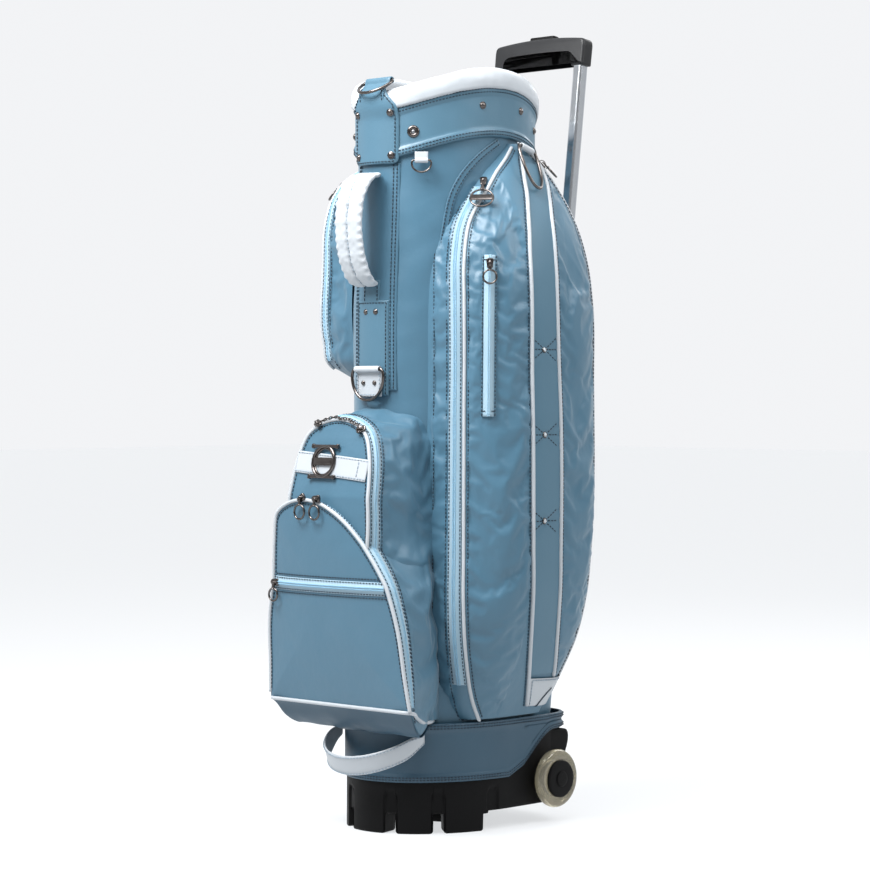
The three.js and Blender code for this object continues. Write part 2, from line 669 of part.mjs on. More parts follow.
/** Folded tab round a bar along X at the origin; its flat end runs up or down behind the bar. */
function tabSolid(width, wire, length) {
  const outer = wire + 1.9;
  const eye = wire + 0.7;
  const [low, high] = [Math.min(0, length), Math.max(0, length)];
  const leaf = boxBetween([-width / 2, outer - 1.5, low], [width / 2, outer, high]);
  const roll = rod('x', outer, width, 12);
  return cut(join(leaf, roll), rod('x', eye, width + 2, 10));
}

/** D-shaped ring of round wire: its bar lies along X at the origin, its loop hangs below. */
function dRing(width, depth, wire) {
  const half = width / 2;
  const right = [
    [0.3, 0], [0.62, 0], [0.9, 0], [1, -0.09], [1.02, -0.4], [0.72, -0.8], [0.3, -0.98],
  ].map(([x, z]) => new THREE.Vector3(half * x, 0, depth * z));
  const left = right.map((p) => new THREE.Vector3(-p.x, 0, p.z)).reverse();
  return wireLoop([...right, ...left], wire, 20, 5);
}

const TOP_RING = { at: [0, -109, 850.8], lean: 57 };

// tab and ring pairs: where the ring's bar is, how it faces, and its size
const RINGS = [
  { name: 'lower', at: [0, -128.4, 523], width: 48, depth: 35, tab: 39, leaf: -31, wire: 1.8 },
  { name: 'small', at: [57, -99.6, 758], bearing: -46, width: 21, depth: 13, tab: 15, leaf: 10, wire: 1.1 },
  {
    name: 'side', at: [105, 24, 776], bearing: 8, lean: 26, tilt: 14,
    width: 36, depth: 53, tab: 24, leaf: 6, wire: 1.8,
  },
];

function makeRings() {
  for (const ring of RINGS) {
    const holder = fixture(ring);
    place(`${ring.name}_tab`, tabSolid(ring.tab, ring.wire, ring.leaf), whiteTrim, holder);
    place(`${ring.name}_ring`, dRing(ring.width, ring.depth, ring.wire), gunmetal, holder);
  }
  const tongue = new THREE.Shape();
  tongue.moveTo(-123, 813).lineTo(-124.2, 830).lineTo(-121.5, 840.6).lineTo(-114, 845.4).lineTo(-111, 848)
    .lineTo(-107, 848).lineTo(-107, 844.6).lineTo(-112.5, 843.2).lineTo(-119.6, 839.4)
    .lineTo(-122.3, 830).lineTo(-121.4, 813);
  const eye = rod('x', 4, 38, 12, 0, TOP_RING.at[1], TOP_RING.at[2]);
  const bore = rod('x', RING_WIRE + 0.8, 40, 10, 0, TOP_RING.at[1], TOP_RING.at[2]);
  place('ring_tongue', cut(join(plateYZ(tongue, 38), eye), bore), blueLeather);
  place('top_ring', dRing(44, 27, RING_WIRE), gunmetal, fixture(TOP_RING));
}

function makePocketStrap() {
  const strap = roundedOutline(118, 24, 1);
  const pouch = (grow) => frontPocket(VALUABLES_POCKET, grow);
  place('pocket_strap', skinPlate(translated(strap, 0, 416), pouch, GAP, 1.6, -160), whiteTrim);
  const frame = roundedOutline(41, 38, 5);
  frame.holes.push(roundedOutline(30, 27, 9, THREE.Path));
  const holder = fixture({ at: [-10, -186.2, 419], lean: 11.3 });
  place('strap_buckle', plateXZ(frame, -1.5, 3, 3), gunmetal, holder);
}

/** Zip pull: a shank that starts 1 mm above the pivot, with a ring on its end. */
function pullSolid({ ring, shank = 9 }) {
  const stem = box(3.4, 1.8, shank, 0, 0, 1 - shank / 2);
  const loop = new THREE.TorusGeometry(ring, PULL_WIRE, 5, 14).rotateX(Math.PI / 2);
  return join(stem, loop.translate(0, 0, 1.8 - shank - ring));
}

// zip pulls: pivot, bearing and lean of the place where each hangs, ring radius and shank length
const PULLS = [
  { name: 'side_zip_pull', at: [95.5, -39, 738], bearing: -52, lean: 40, ring: 13, shank: 18 },
  { name: 'inner_zip_pull', at: [141.6, -77.4, 640], bearing: -46, ring: 7.5 },
  { name: 'ball_zip_pull', at: [-86, -194.6, 281], ring: 7 },
  { name: 'arch_zip_pull_left', at: [-32, -204.5, 378], ring: 8 },
  { name: 'arch_zip_pull_right', at: [-8, -204.5, 378], ring: 8 },
  { name: 'left_zip_pull', at: [-117, -56, 742], bearing: -140, lean: 40, ring: 8 },
  { name: 'rear_zip_pull', at: [103, 55, 762], bearing: 40, lean: 42, ring: 7.5 },
];

function makeZips() {
  for (const pull of PULLS) place(pull.name, pullSolid(pull), gunmetal, fixture(pull));
  const slider = extrude(roundedOutline(8, 12, 3), 3.4, 3).rotateX(Math.PI / 2).translate(0, 5, 0);
  place('inner_zip_slider', slider.clone(), gunmetal, fixture(PULLS[1]));
  place('ball_zip_slider', slider.clone().rotateY(Math.PI / 2), gunmetal, fixture(PULLS[2]));
}

/** Flat webbing loop that hangs in front of the base, fixed at both ends. */
function makeGrabStrap() {
  const steps = 14;
  const [spread, reach, drop, halfWidth, endHalfWidth, halfThick] = [66, 60, 30, 12, 7, 1.4];
  const rings = Array.from({ length: steps + 1 }, (unused, i) => {
    const angle = lerp(Math.PI, 2 * Math.PI, i / steps);
    const sag = -Math.sin(angle);
    const [x, y] = [spread * Math.cos(angle), -105 + reach * Math.sin(angle)];
    const centre = new THREE.Vector3(x, y, 108 - drop * sag);
    const out = new THREE.Vector3(Math.cos(angle) / spread, Math.sin(angle) / reach, 0).normalize();
    if (i === 0 || i === steps) out.set(Math.cos(angle), -0.35, 0).normalize();
    const across = new THREE.Vector3(0, 0, 1).addScaledVector(out, 0.35 * sag).normalize();
    const face = out.clone().addScaledVector(across, -out.dot(across)).normalize();
    const half = lerp(endHalfWidth, halfWidth, smoothstep(sag, 0, 0.4));
    return [[-1, -1], [1, -1], [1, 1], [-1, 1]].map(([a, b]) => centre.clone()
      .addScaledVector(face, a * halfThick).addScaledVector(across, b * half));
  });
  place('grab_strap', loft(rings), whiteTrim);
}

makeBase();
makeWheels();
makeBarrel();
makeDividers();
makeBrackets();
makeTubes();
makeGrip();
makeSpineCover();
makePockets();
makeFrontTrim();
makeCarryHandle();
makeRings();
makePocketStrap();
makeZips();
makeGrabStrap();

export default bag;
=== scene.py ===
"""Looks of a wheeled cart golf bag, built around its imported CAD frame.

Shapes are worked out in millimetres, +Z up, front at -Y, and turned into metres when a mesh is made.
"""

import json
import math

import bmesh
import bpy
import numpy as np
from mathutils import Matrix, Vector
from mathutils.bvhtree import BVHTree
from mathutils.kdtree import KDTree


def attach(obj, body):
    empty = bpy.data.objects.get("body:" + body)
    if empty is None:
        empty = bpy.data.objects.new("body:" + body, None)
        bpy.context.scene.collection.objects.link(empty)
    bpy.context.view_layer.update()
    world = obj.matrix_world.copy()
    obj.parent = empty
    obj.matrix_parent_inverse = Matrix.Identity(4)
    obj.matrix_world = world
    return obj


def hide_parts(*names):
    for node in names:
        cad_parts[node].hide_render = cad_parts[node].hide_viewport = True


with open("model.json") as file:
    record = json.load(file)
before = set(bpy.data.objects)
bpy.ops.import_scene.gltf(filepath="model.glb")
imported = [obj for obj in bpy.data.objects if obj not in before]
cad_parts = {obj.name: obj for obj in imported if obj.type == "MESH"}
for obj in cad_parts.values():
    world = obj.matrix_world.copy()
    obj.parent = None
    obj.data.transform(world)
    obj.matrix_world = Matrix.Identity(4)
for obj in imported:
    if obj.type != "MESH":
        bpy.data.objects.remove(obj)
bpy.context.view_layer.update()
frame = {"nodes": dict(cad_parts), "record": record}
MM = 0.001


# ---------------------------------------------------------------- small maths
def lerp(a, b, t):
    return a + (b - a) * t


def smoothstep(x, low, high):
    t = np.clip((np.asarray(x, float) - low) / (high - low), 0, 1)
    return t * t * (3 - 2 * t)


def signed_power(value, power):
    return np.sign(value) * np.abs(value) ** power


def unit(vectors):
    length = np.linalg.norm(vectors, axis=-1, keepdims=True)
    return vectors / np.maximum(length, 1e-9)


def hermite(knots, values, at):
    """Smooth interpolation of values (rows at knots) at new positions."""
    knots = np.asarray(knots, float)
    values = np.asarray(values, float)
    at = np.clip(at, knots[0], knots[-1])
    slope = np.gradient(values, knots, axis=0)
    i = np.clip(np.searchsorted(knots, at, side="right") - 1, 0, len(knots) - 2)
    span = (knots[i + 1] - knots[i])[:, None]
    t = ((at - knots[i])[:, None]) / span
    a, b = values[i], values[i + 1]
    return (
        (2 * t**3 - 3 * t**2 + 1) * a
        + (t**3 - 2 * t**2 + t) * span * slope[i]
        + (3 * t**2 - 2 * t**3) * b
        + (t**3 - t**2) * span * slope[i + 1]
    )


def chord_lengths(points):
    return np.r_[0, np.cumsum(np.linalg.norm(np.diff(points, axis=0), axis=1))]


def resample(points, count=None, step=None, closed=False):
    """Points at even spacing along a polyline."""
    points = np.asarray(points, float)
    if closed:
        points = np.vstack([points, points[:1]])
    along = chord_lengths(points)
    if count is None:
        count = max(3, int(round(along[-1] / step)) + (0 if closed else 1))
    at = np.linspace(0, along[-1], count, endpoint=not closed)
    return np.stack([np.interp(at, along, points[:, k]) for k in range(points.shape[1])], 1)


def smooth_path(points, step=2.0, closed=False, count=None):
    """Smooth curve through points, at even spacing."""
    p = np.asarray(points, float)
    n = len(p)
    if closed:
        p = np.vstack([p[-2:], p, p[:3]])
    knots = chord_lengths(p)
    first, last = (knots[2], knots[2 + n]) if closed else (knots[0], knots[-1])
    dense = hermite(knots, p, np.linspace(first, last, max(400, n * 20)))
    if closed:
        dense = dense[:-1]
    return resample(dense, count=count, step=step, closed=closed)


def noise(points, scale, seed, octaves=3):
    """Smooth random values between about -1 and 1: sums of sines with fixed random directions."""
    source = np.random.default_rng(seed)
    total = np.zeros(points.shape[:-1])
    for octave in range(octaves):
        for _ in range(7):
            way = unit(source.normal(size=3)) * 2 * math.pi / scale * 1.9**octave
            total += np.sin(points @ way + source.uniform(0, 6.28)) / (7**0.5 * 1.8**octave)
    return total * 0.7


# ---------------------------------------------------------------- shapes shared with the frame
BASE = {"half_x": 97, "front": 131, "back": 114, "power": 6}
BASE_FLOOR = 22
BAND_TOP = 124
RIM = {"band_low": 788.5, "band_high": 846, "cuff_top": 868}


def outline(angle, half_x, front, back, power, grow):
    """Outline that is an ellipse in front and a squarer curve behind."""
    cos, sin = np.cos(angle), np.sin(angle)
    behind = sin > 0
    p = np.where(behind, 2 / np.asarray(power, float), 1.0)
    reach = np.where(behind, back, front)
    return (half_x + grow) * signed_power(cos, p), (reach + grow) * signed_power(sin, p)


def barrel(angle, z, grow=0.0):
    """Point on the barrel at an outline angle and a height."""
    angle, z, grow = np.broadcast_arrays(angle, np.asarray(z, float), grow)
    neck = smoothstep(z, 560, 780)
    lean = 65 + (z - 60) * math.tan(math.radians(7.1)) - 16
    back = np.minimum(115.5, lean)
    power = lerp(4, 2, smoothstep(z, 60, 640))
    x, y = outline(angle, lerp(92, 87.5, neck), lerp(121.5, 115.5, neck), back, power, grow)
    return np.stack([x, y, z], -1)


def base(angle, z, grow=0.0):
    """Point on the wall of the moulded base."""
    angle, z, grow = np.broadcast_arrays(angle, np.asarray(z, float), grow)
    x, y = outline(angle, grow=grow, **BASE)
    return np.stack([x, y, z], -1)


def rim(side_height, y):
    """Saddle-shaped edge: highest at the sides, lower in front and behind."""
    return side_height - 0.0024 * (y + 5) ** 2


def on_front(x, z, grow):
    """Point on the front of the barrel at a given x and z."""
    x, z = np.broadcast_arrays(np.asarray(x, float), np.asarray(z, float))
    half = lerp(92, 87.5, smoothstep(z, 560, 780)) + grow
    return barrel(-np.arccos(np.clip(x / half, -1, 1)), z, grow)


def even_angles(count):
    """Outline angles that put points at even spacing round the barrel."""
    dense = np.linspace(0, 2 * math.pi, 2001)
    ring = barrel(dense, 400.0)
    along = chord_lengths(ring)
    return np.interp(np.linspace(0, along[-1], count, endpoint=False), along, dense)


TOWER_LEAN = math.radians(7.1)


def tower(points):
    """From the leaning frame of the handle tubes to the frame of the bag."""
    x, y, s = np.moveaxis(np.asarray(points, float), -1, 0)
    c, k = math.cos(TOWER_LEAN), math.sin(TOWER_LEAN)
    return np.stack([x, 65 + y * c + s * k, 60 - y * k + s * c], -1)


def fixture(at, bearing=-90, lean=0, tilt=0):
    """Placement whose own -Y faces the bearing; lean swings what hangs below it outward."""
    turn = (
        Matrix.Rotation(math.radians(bearing + 90), 3, "Z")
        @ Matrix.Rotation(math.radians(tilt), 3, "Y")
        @ Matrix.Rotation(-math.radians(lean), 3, "X")
    )
    turn = np.array(turn)
    return lambda points: np.asarray(points, float) @ turn.T + np.array(at)


def facing(at, out, spin=0.0):
    """Placement on a surface point: own -Y looks outward."""
    out = unit(np.asarray(out, float))
    side = unit(np.cross(np.array([0.0, 0, 1]), out)) if abs(out[2]) < 0.95 else np.array([1.0, 0, 0])
    up = np.cross(out, side)
    c, s = math.cos(spin), math.sin(spin)
    x, z = side * c + up * s, up * c - side * s
    return lambda points: np.asarray(points, float) @ np.array([x, -out, z]) + at


# ---------------------------------------------------------------- materials
def srgb(red, green, blue):
    """Linear colour from the usual 0-255 values."""
    return tuple(
        ((v / 255 + 0.055) / 1.055) ** 2.4 if v > 10 else v / 3294.6 for v in (red, green, blue)
    ) + (1,)


CREASE_TURN = (0.75, 0.35, 0.5)
CREASE_STRETCH = (1, 1, 0.22)


def material(name, colour, roughness, slot, second, patches, bumps, rough_spread=0.08, **inputs):
    """Procedural material between two colours. bumps are (kind, scale, strength, distance in mm)."""
    mat = bpy.data.materials.new(name)
    mat.use_nodes = True
    nodes, links = mat.node_tree.nodes, mat.node_tree.links
    shader = nodes["Principled BSDF"]
    place = nodes.new("ShaderNodeTexCoord").outputs["Object"]
    for key, value in inputs.items():
        shader.inputs[key.replace("_", " ").title().replace("Ior", "IOR")].default_value = value

    def texture(kind, scale):
        if kind == "grain":
            node = nodes.new("ShaderNodeTexVoronoi")
            node.inputs["Scale"].default_value = scale
            out = node.outputs["Distance"]
        elif kind in ("twill", "ribs", "turned"):
            node = nodes.new("ShaderNodeTexWave")
            node.bands_direction = {"twill": "DIAGONAL", "ribs": "Z", "turned": "X"}[kind]
            node.inputs["Scale"].default_value = scale
            node.inputs["Distortion"].default_value = 0.6
            out = node.outputs["Color"]
        else:
            node = nodes.new("ShaderNodeTexNoise")
            node.inputs["Scale"].default_value = scale
            node.inputs["Detail"].default_value = 1 if kind == "crease" else 4
            out = node.outputs["Fac"]
        if kind != "crease":
            links.new(place, node.inputs["Vector"])
            return out
        slant = nodes.new("ShaderNodeMapping")
        slant.inputs["Rotation"].default_value = CREASE_TURN
        slant.inputs["Scale"].default_value = CREASE_STRETCH
        links.new(place, slant.inputs["Vector"])
        links.new(slant.outputs["Vector"], node.inputs["Vector"])
        for operation, value in (("SUBTRACT", 0.5), ("ABSOLUTE", 0), ("MULTIPLY", 4.0)):
            step = nodes.new("ShaderNodeMath")
            step.operation = operation
            step.inputs[1].default_value = value
            links.new(out, step.inputs[0])
            out = step.outputs[0]
        return out

    cloudy = texture("noise", patches)
    mix = nodes.new("ShaderNodeMix")
    mix.data_type = "RGBA"
    links.new(cloudy, mix.inputs["Factor"])
    mix.inputs["A"].default_value = colour
    mix.inputs["B"].default_value = second
    links.new(mix.outputs["Result"], shader.inputs["Base Color"])
    spread = nodes.new("ShaderNodeMapRange")
    links.new(texture("noise", patches * 3), spread.inputs["Value"])
    spread.inputs["To Min"].default_value = roughness - rough_spread
    spread.inputs["To Max"].default_value = roughness + rough_spread
    links.new(spread.outputs["Result"], shader.inputs["Roughness"])
    last = None
    for kind, scale, strength, distance in bumps:
        bump = nodes.new("ShaderNodeBump")
        bump.inputs["Strength"].default_value = strength
        bump.inputs["Distance"].default_value = distance * MM
        links.new(texture(kind, scale), bump.inputs["Height"])
        if last:
            links.new(last, bump.inputs["Normal"])
        last = bump.outputs["Normal"]
    links.new(last, shader.inputs["Normal"])
    mat["slot"] = slot
    return mat


NYLON = material(
    "blue_nylon", srgb(68, 106, 127), 0.42, "blue_fabric", srgb(60, 97, 118), 9,
    [("noise", 26, 0.3, 5), ("twill", 330, 0.3, 0.12)], sheen_weight=0.2, sheen_roughness=0.4,
)
CREASED_NYLON = material(
    "creased_blue_nylon", srgb(68, 106, 127), 0.42, "blue_fabric", srgb(60, 97, 118), 9,
    [("crease", 26, 0.1, 5), ("noise", 26, 0.2, 5), ("twill", 330, 0.3, 0.12)], sheen_weight=0.2,
    sheen_roughness=0.4,
)
LEATHER = material(
    "blue_leatherette", srgb(74, 109, 128), 0.42, "blue_leather", srgb(66, 100, 119), 12,
    [("noise", 30, 0.1, 3), ("grain", 620, 0.35, 0.14)],
)
# Darker copy of the blue leatherette: painted shade, used on the base skirt, the ball pocket's underside and
# the handle core.
PAINTED_SHADE_LEATHER = material(
    "blue_leatherette_painted_shade", srgb(46, 76, 94), 0.5, "blue_leather", srgb(40, 68, 86), 12,
    [("noise", 30, 0.1, 3), ("grain", 620, 0.35, 0.14)],
)
WHITE = material(
    "white_leatherette", srgb(176, 182, 187), 0.42, "white_leather", srgb(168, 174, 180), 14,
    [("noise", 60, 0.12, 2), ("grain", 560, 0.3, 0.12)],
)
TAPE = material(
    "zip_tape", srgb(148, 176, 192), 0.6, "blue_fabric", srgb(138, 167, 184), 40,
    [("twill", 420, 0.4, 0.15)], sheen_weight=0.2,
)
TEETH = material(
    "zip_coil", srgb(140, 182, 206), 0.35, "blue_fabric", srgb(128, 171, 196), 80,
    [("noise", 300, 0.2, 0.2)]
)
THREAD = material(
    "dark_thread", srgb(20, 42, 58), 0.6, "blue_fabric", srgb(14, 32, 46), 90, [("twill", 900, 0.5, 0.1)]
)
GREY_THREAD = material(
    "grey_thread", srgb(150, 165, 176), 0.6, "white_leather", srgb(128, 144, 158), 90,
    [("twill", 900, 0.5, 0.1)]
)
GUNMETAL = material(
    "gunmetal", srgb(116, 111, 109), 0.2, "gunmetal", srgb(76, 71, 69), 90,
    [("noise", 500, 0.08, 0.1)], rough_spread=0.05, metallic=1.0,
)
BLACK = material(
    "moulded_black", srgb(11, 11, 12), 0.55, "base_plastic", srgb(8, 8, 9), 25,
    [("noise", 90, 0.08, 1), ("grain", 700, 0.3, 0.1)], specular_ior_level=0.12,
)
GREY = material(
    "moulded_grey", srgb(31, 32, 34), 0.42, "grip_plastic", srgb(25, 26, 28), 25,
    [("noise", 90, 0.08, 1), ("grain", 800, 0.25, 0.08)], specular_ior_level=0.3,
)
ALUMINIUM = material(
    "aluminium", srgb(214, 218, 222), 0.2, "aluminium", srgb(200, 205, 211), 60,
    [("turned", 260, 0.05, 0.05)], rough_spread=0.06, metallic=1.0,
)
STEEL = material(
    "steel", srgb(165, 168, 172), 0.3, "steel", srgb(140, 143, 148), 60, [("noise", 400, 0.1, 0.1)],
    metallic=1.0
)
LINING = material(
    "lining", srgb(48, 56, 62), 0.85, "lining", srgb(38, 45, 50), 30, [("twill", 260, 0.5, 0.3)],
    sheen_weight=0.3
)
TYRE = material(
    "clear_tyre", srgb(238, 231, 208), 0.06, "clear_tyre", srgb(230, 220, 188), 12,
    [("noise", 80, 0.05, 0.5)], rough_spread=0.02, transmission_weight=0.82, ior=1.4,
)
CRYSTAL = material(
    "crystal", srgb(240, 246, 250), 0.06, "steel", srgb(214, 228, 238), 200,
    [("noise", 200, 0.02, 0.1)], rough_spread=0.02, transmission_weight=0.5, ior=1.7,
)


# ---------------------------------------------------------------- mesh makers
def grid_faces(rows, cols, wrap, flip=False):
    r = np.arange(rows - 1)[:, None]
    c = np.arange(cols if wrap else cols - 1)[None, :]
    nxt = (c + 1) % cols
    quads = np.stack([r * cols + c, r * cols + nxt, (r + 1) * cols + nxt, (r + 1) * cols + c], -1)
    quads = quads.reshape(-1, 4)
    return (quads[:, ::-1] if flip else quads).tolist()


def joined(parts):
    """One list of points and faces from several."""
    points, faces, start = [], [], 0
    for part_points, part_faces in parts:
        points.append(np.asarray(part_points, float).reshape(-1, 3))
        faces += [[i + start for i in face] for face in part_faces]
        start += len(points[-1])
    return np.vstack(points), faces


def make(name, shape, mat, body="root", replaces=(), smooth=True, closed=True):
    """Object from (points in mm, faces) that rides on a body."""
    points, faces = shape
    mesh = bpy.data.meshes.new(name)
    mesh.from_pydata((np.asarray(points, float).reshape(-1, 3) * MM).tolist(), [], faces)
    mesh.materials.append(mat)
    mesh.polygons.foreach_set("use_smooth", [smooth] * len(mesh.polygons))
    mesh.update()
    if closed:
        work = bmesh.new()
        work.from_mesh(mesh)
        bmesh.ops.recalc_face_normals(work, faces=work.faces)
        work.to_mesh(mesh)
        work.free()
    obj = bpy.data.objects.new(name, mesh)
    bpy.context.scene.collection.objects.link(obj)
    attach(obj, body)
    if replaces:
        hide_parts(*replaces)
    return obj


def grid(points, wrap=False, flip=False):
    rows, cols = points.shape[:2]
    return points.reshape(-1, 3), grid_faces(rows, cols, wrap, flip=flip)


def path_frame(points, normals, closed=False):
    """Across and up directions at each point of a path."""
    if closed:
        ahead = np.roll(points, -1, 0) - np.roll(points, 1, 0)
    else:
        ahead = np.gradient(points, axis=0)
    ahead = unit(ahead)
    across = unit(np.cross(ahead, normals))
    return ahead, across, np.cross(across, ahead)


def sweep(points, normals, profile, closed=False):
    """Profile of (across, up) corners carried along a path."""
    profile = np.asarray(profile, float)
    _, across, up = path_frame(points, normals, closed)
    body = points[:, None] + across[:, None] * profile[None, :, :1] + up[:, None] * profile[None, :, 1:]
    rows, cols = body.shape[:2]
    if closed:
        body = np.concatenate([body, body[:1]])
        return grid(body, wrap=True)
    faces = grid_faces(rows, cols, wrap=True)
    faces += [list(range(cols))[::-1], list(range((rows - 1) * cols, rows * cols))]
    return body.reshape(-1, 3), faces


def circle(radius, sides=10):
    turn = np.linspace(0, 2 * math.pi, sides, endpoint=False)
    return np.stack([radius * np.cos(turn), radius * np.sin(turn)], 1)


def strip_profile(width, thick, sides=4):
    """Flat strip with rounded edges, resting at height 0."""
    r = min(thick / 2, width / 4)
    turn = np.linspace(-math.pi / 2, math.pi / 2, sides + 1)
    right = np.stack([width / 2 - r + r * np.cos(turn), thick / 2 + thick / 2 * np.sin(turn)], 1)
    middle = np.stack([np.linspace(width / 2 - r, -width / 2 + r, 7)[1:-1], np.full(5, thick)], 1)
    return np.vstack([right, middle, right[::-1] * [-1, 1]])


def revolve(profile, place, sides):
    """Solid of revolution round the local -Y axis: profile of (radius, reach outward)."""
    turn = np.linspace(0, 2 * math.pi, sides, endpoint=False)
    profile = np.asarray(profile, float)
    rings = np.stack([
        profile[:, :1] * np.cos(turn),
        np.repeat(-profile[:, 1:], sides, 1),
        profile[:, :1] * np.sin(turn),
    ], -1)
    points, faces = grid(rings, wrap=True)
    return place(points), faces


def stitches(points, normals, pitch=4.4, length=3.1, width=1.25, lift=0.2):
    """Row of thread stitches along a path."""
    along = chord_lengths(points)
    count = max(1, int(along[-1] / pitch))
    at = (np.arange(count) + 0.5) * along[-1] / count
    ahead, across, up = path_frame(points, normals)
    pick = lambda values: np.stack([np.interp(at, along, values[:, k]) for k in range(3)], 1)
    centre, ahead, across, up = pick(points), unit(pick(ahead)), unit(pick(across)), unit(pick(up))
    turn = np.linspace(0, 2 * math.pi, 5, endpoint=False)
    rings = []
    for share, size in ((-1, 0.45), (-0.75, 1), (0.75, 1), (1, 0.45)):
        middle = centre + ahead * share * length / 2 + up * lift * (1 if abs(share) < 1 else -1)
        rings.append(
            middle[:, None]
            + across[:, None] * (np.cos(turn) * size * width / 2)[None, :, None]
            + up[:, None] * (np.sin(turn) * size * width / 2)[None, :, None]
        )
    one = grid_faces(4, 5, wrap=True) + [[4, 3, 2, 1, 0], [15, 16, 17, 18, 19]]
    faces = [[i + 20 * number for i in face] for number in range(count) for face in one]
    return np.stack(rings, 1).reshape(-1, 3), faces


class Skin:
    """Surface that trims are laid on."""

    def __init__(self, *shapes):
        points, faces = joined(shapes)
        self.tree = BVHTree.FromPolygons([Vector(p) for p in points], faces)

    def lay(self, points, lift=0.0, smooth=4):
        """Path pulled onto the surface, with its normals."""
        spots, normals = [], []
        for p in points:
            spot, normal, _, _ = self.tree.find_nearest(Vector(p))
            spots.append(spot)
            normals.append(normal)
        normals = np.array(normals)
        for _ in range(smooth):
            padded = np.vstack([normals[:1], normals, normals[-1:]])
            normals = unit(padded[:-2] + 2 * padded[1:-1] + padded[2:])
        return np.array(spots) + normals * lift, normals


def shifted(path, distance):
    """Path moved sideways along its surface."""
    points, normals = path
    _, across, _ = path_frame(points, normals)
    return points + across * distance


# Section of a zip, as shares of its half width and of its height, and the stitches that stand for its coil.
ZIP_TAPE = np.array([(-1, 0), (-1, 0.08), (-0.34, 0.1), (-0.28, 0.24), (-0.07, 0.26), (0, 0.18),
                     (0.07, 0.26), (0.28, 0.24), (0.34, 0.1), (1, 0.08), (1, 0)])
ZIP_HEIGHT = 6.5
COIL = {"pitch": 1.7, "length": 1.15, "lift": 0}


def zip_on(name, skin, points, width):
    """Zip along a path: two tapes, a coil, and a stitch row on each side."""
    path = skin.lay(smooth_path(points), 0.25)
    half = width / 2
    make(name + "_tape", sweep(*path, ZIP_TAPE * [half, ZIP_HEIGHT]), TAPE)
    coil = []
    for side in (-0.16, 0.16):
        line = shifted(path, side * half) + path[1] * 1.55
        coil.append(stitches(line, path[1], width=half * 0.26, **COIL))
    make(name + "_coil", joined(coil), TEETH)
    rows = [stitches(shifted(path, side * (half - 1.2)) + path[1] * 0.55, path[1]) for side in (-1, 1)]
    make(name + "_stitching", joined(rows), THREAD)


def piping_on(name, path, radius, lift=0.9):
    """Round piping along a laid path."""
    points, normals = path
    make(name, sweep(points + normals * lift, normals, circle(radius)), WHITE)


def stitch_on(name, paths, mat=THREAD, lift=0.3):
    """Stitch rows along laid paths, as one piece."""
    rows = [stitches(points + normals * lift, normals) for points, normals in paths]
    make(name, joined(rows), mat)


PATCH_ROUNDING = 1.6
PATCH_COLUMNS = 26
PATCH_EDGE = np.array([0.3, 0.8, 1.6, 3])


def sheet_patch(surface, rows, thick, lift):
    """Leather patch on a surface(x, z, grow): rows of (z, left x, right x), edges rounded down."""
    rows = np.asarray(rows, float)
    z = rows[:, 0]
    middle = np.arange(z[0], z[-1], 3.5)[1:]
    fine = np.unique(np.r_[z[0], z[0] + PATCH_EDGE, middle, z[-1] - PATCH_EDGE, z[-1]])
    left = np.interp(fine, z, rows[:, 1])
    right = np.interp(fine, z, rows[:, 2])
    share = np.r_[0, 0.006, 0.02, 0.045, np.linspace(0.08, 0.92, PATCH_COLUMNS), 0.955, 0.98, 0.994, 1]
    x = left[:, None] + (right - left)[:, None] * share[None, :]
    zz = np.repeat(fine[:, None], len(share), 1)
    edge = np.minimum(np.minimum(x - left[:, None], right[:, None] - x), np.minimum(zz - z[0], z[-1] - zz))
    height = np.sqrt(np.clip(1 - (1 - np.clip(edge / PATCH_ROUNDING, 0, 1)) ** 2, 0, 1)) * thick
    top = surface(x, zz, 0.0)
    outer = surface(x, zz, 1.0)
    way = unit(outer - top)
    return grid(top + way * (lift + height)[..., None])


# ---------------------------------------------------------------- cloth
CLOTH_FRAMES = 14
CLOTH_GRAVITY = 0.25


def simulate(obj, pinned, spare=0.02, cap=3.0):
    """Lets the cloth between pinned points buckle, caps how far it moves, and keeps the result."""
    mesh = obj.data
    rest = np.empty(len(mesh.vertices) * 3)
    mesh.vertices.foreach_get("co", rest)
    rest = rest.reshape(-1, 3)
    start = rest.copy()
    free = ~pinned
    normal = np.empty(len(rest) * 3)
    mesh.vertices.foreach_get("normal", normal)
    ripple = noise(rest[free] / MM * [1, 1, 0.4], 44, 3) * 0.6
    start[free] += normal.reshape(-1, 3)[free] * ripple[:, None] * MM
    mesh.vertices.foreach_set("co", start.ravel())
    group = obj.vertex_groups.new(name="pin")
    group.add(np.nonzero(pinned)[0].tolist(), 1.0, "REPLACE")
    cloth = obj.modifiers.new("cloth", "CLOTH")
    settings = cloth.settings
    settings.quality = 5
    settings.mass = 0.12
    settings.tension_stiffness = settings.compression_stiffness = 18
    settings.shear_stiffness = 8
    settings.bending_stiffness = 3.0
    settings.air_damping = 3
    settings.shrink_min = -spare
    settings.vertex_group_mass = "pin"
    settings.effector_weights.gravity = CLOTH_GRAVITY
    cloth.collision_settings.use_collision = False
    cloth.point_cache.frame_start, cloth.point_cache.frame_end = 1, CLOTH_FRAMES
    scene = bpy.context.scene
    for number in range(1, CLOTH_FRAMES + 1):
        scene.frame_set(number)
    moved = np.empty(len(rest) * 3)
    obj.evaluated_get(bpy.context.evaluated_depsgraph_get()).data.vertices.foreach_get("co", moved)
    obj.modifiers.remove(cloth)
    step = moved.reshape(-1, 3) - rest
    length = np.linalg.norm(step, axis=1, keepdims=True)
    step *= np.minimum(1, cap * MM / np.maximum(length, 1e-9))
    mesh.vertices.foreach_set("co", (rest + step).ravel())
    mesh.update()
    scene.frame_set(1)


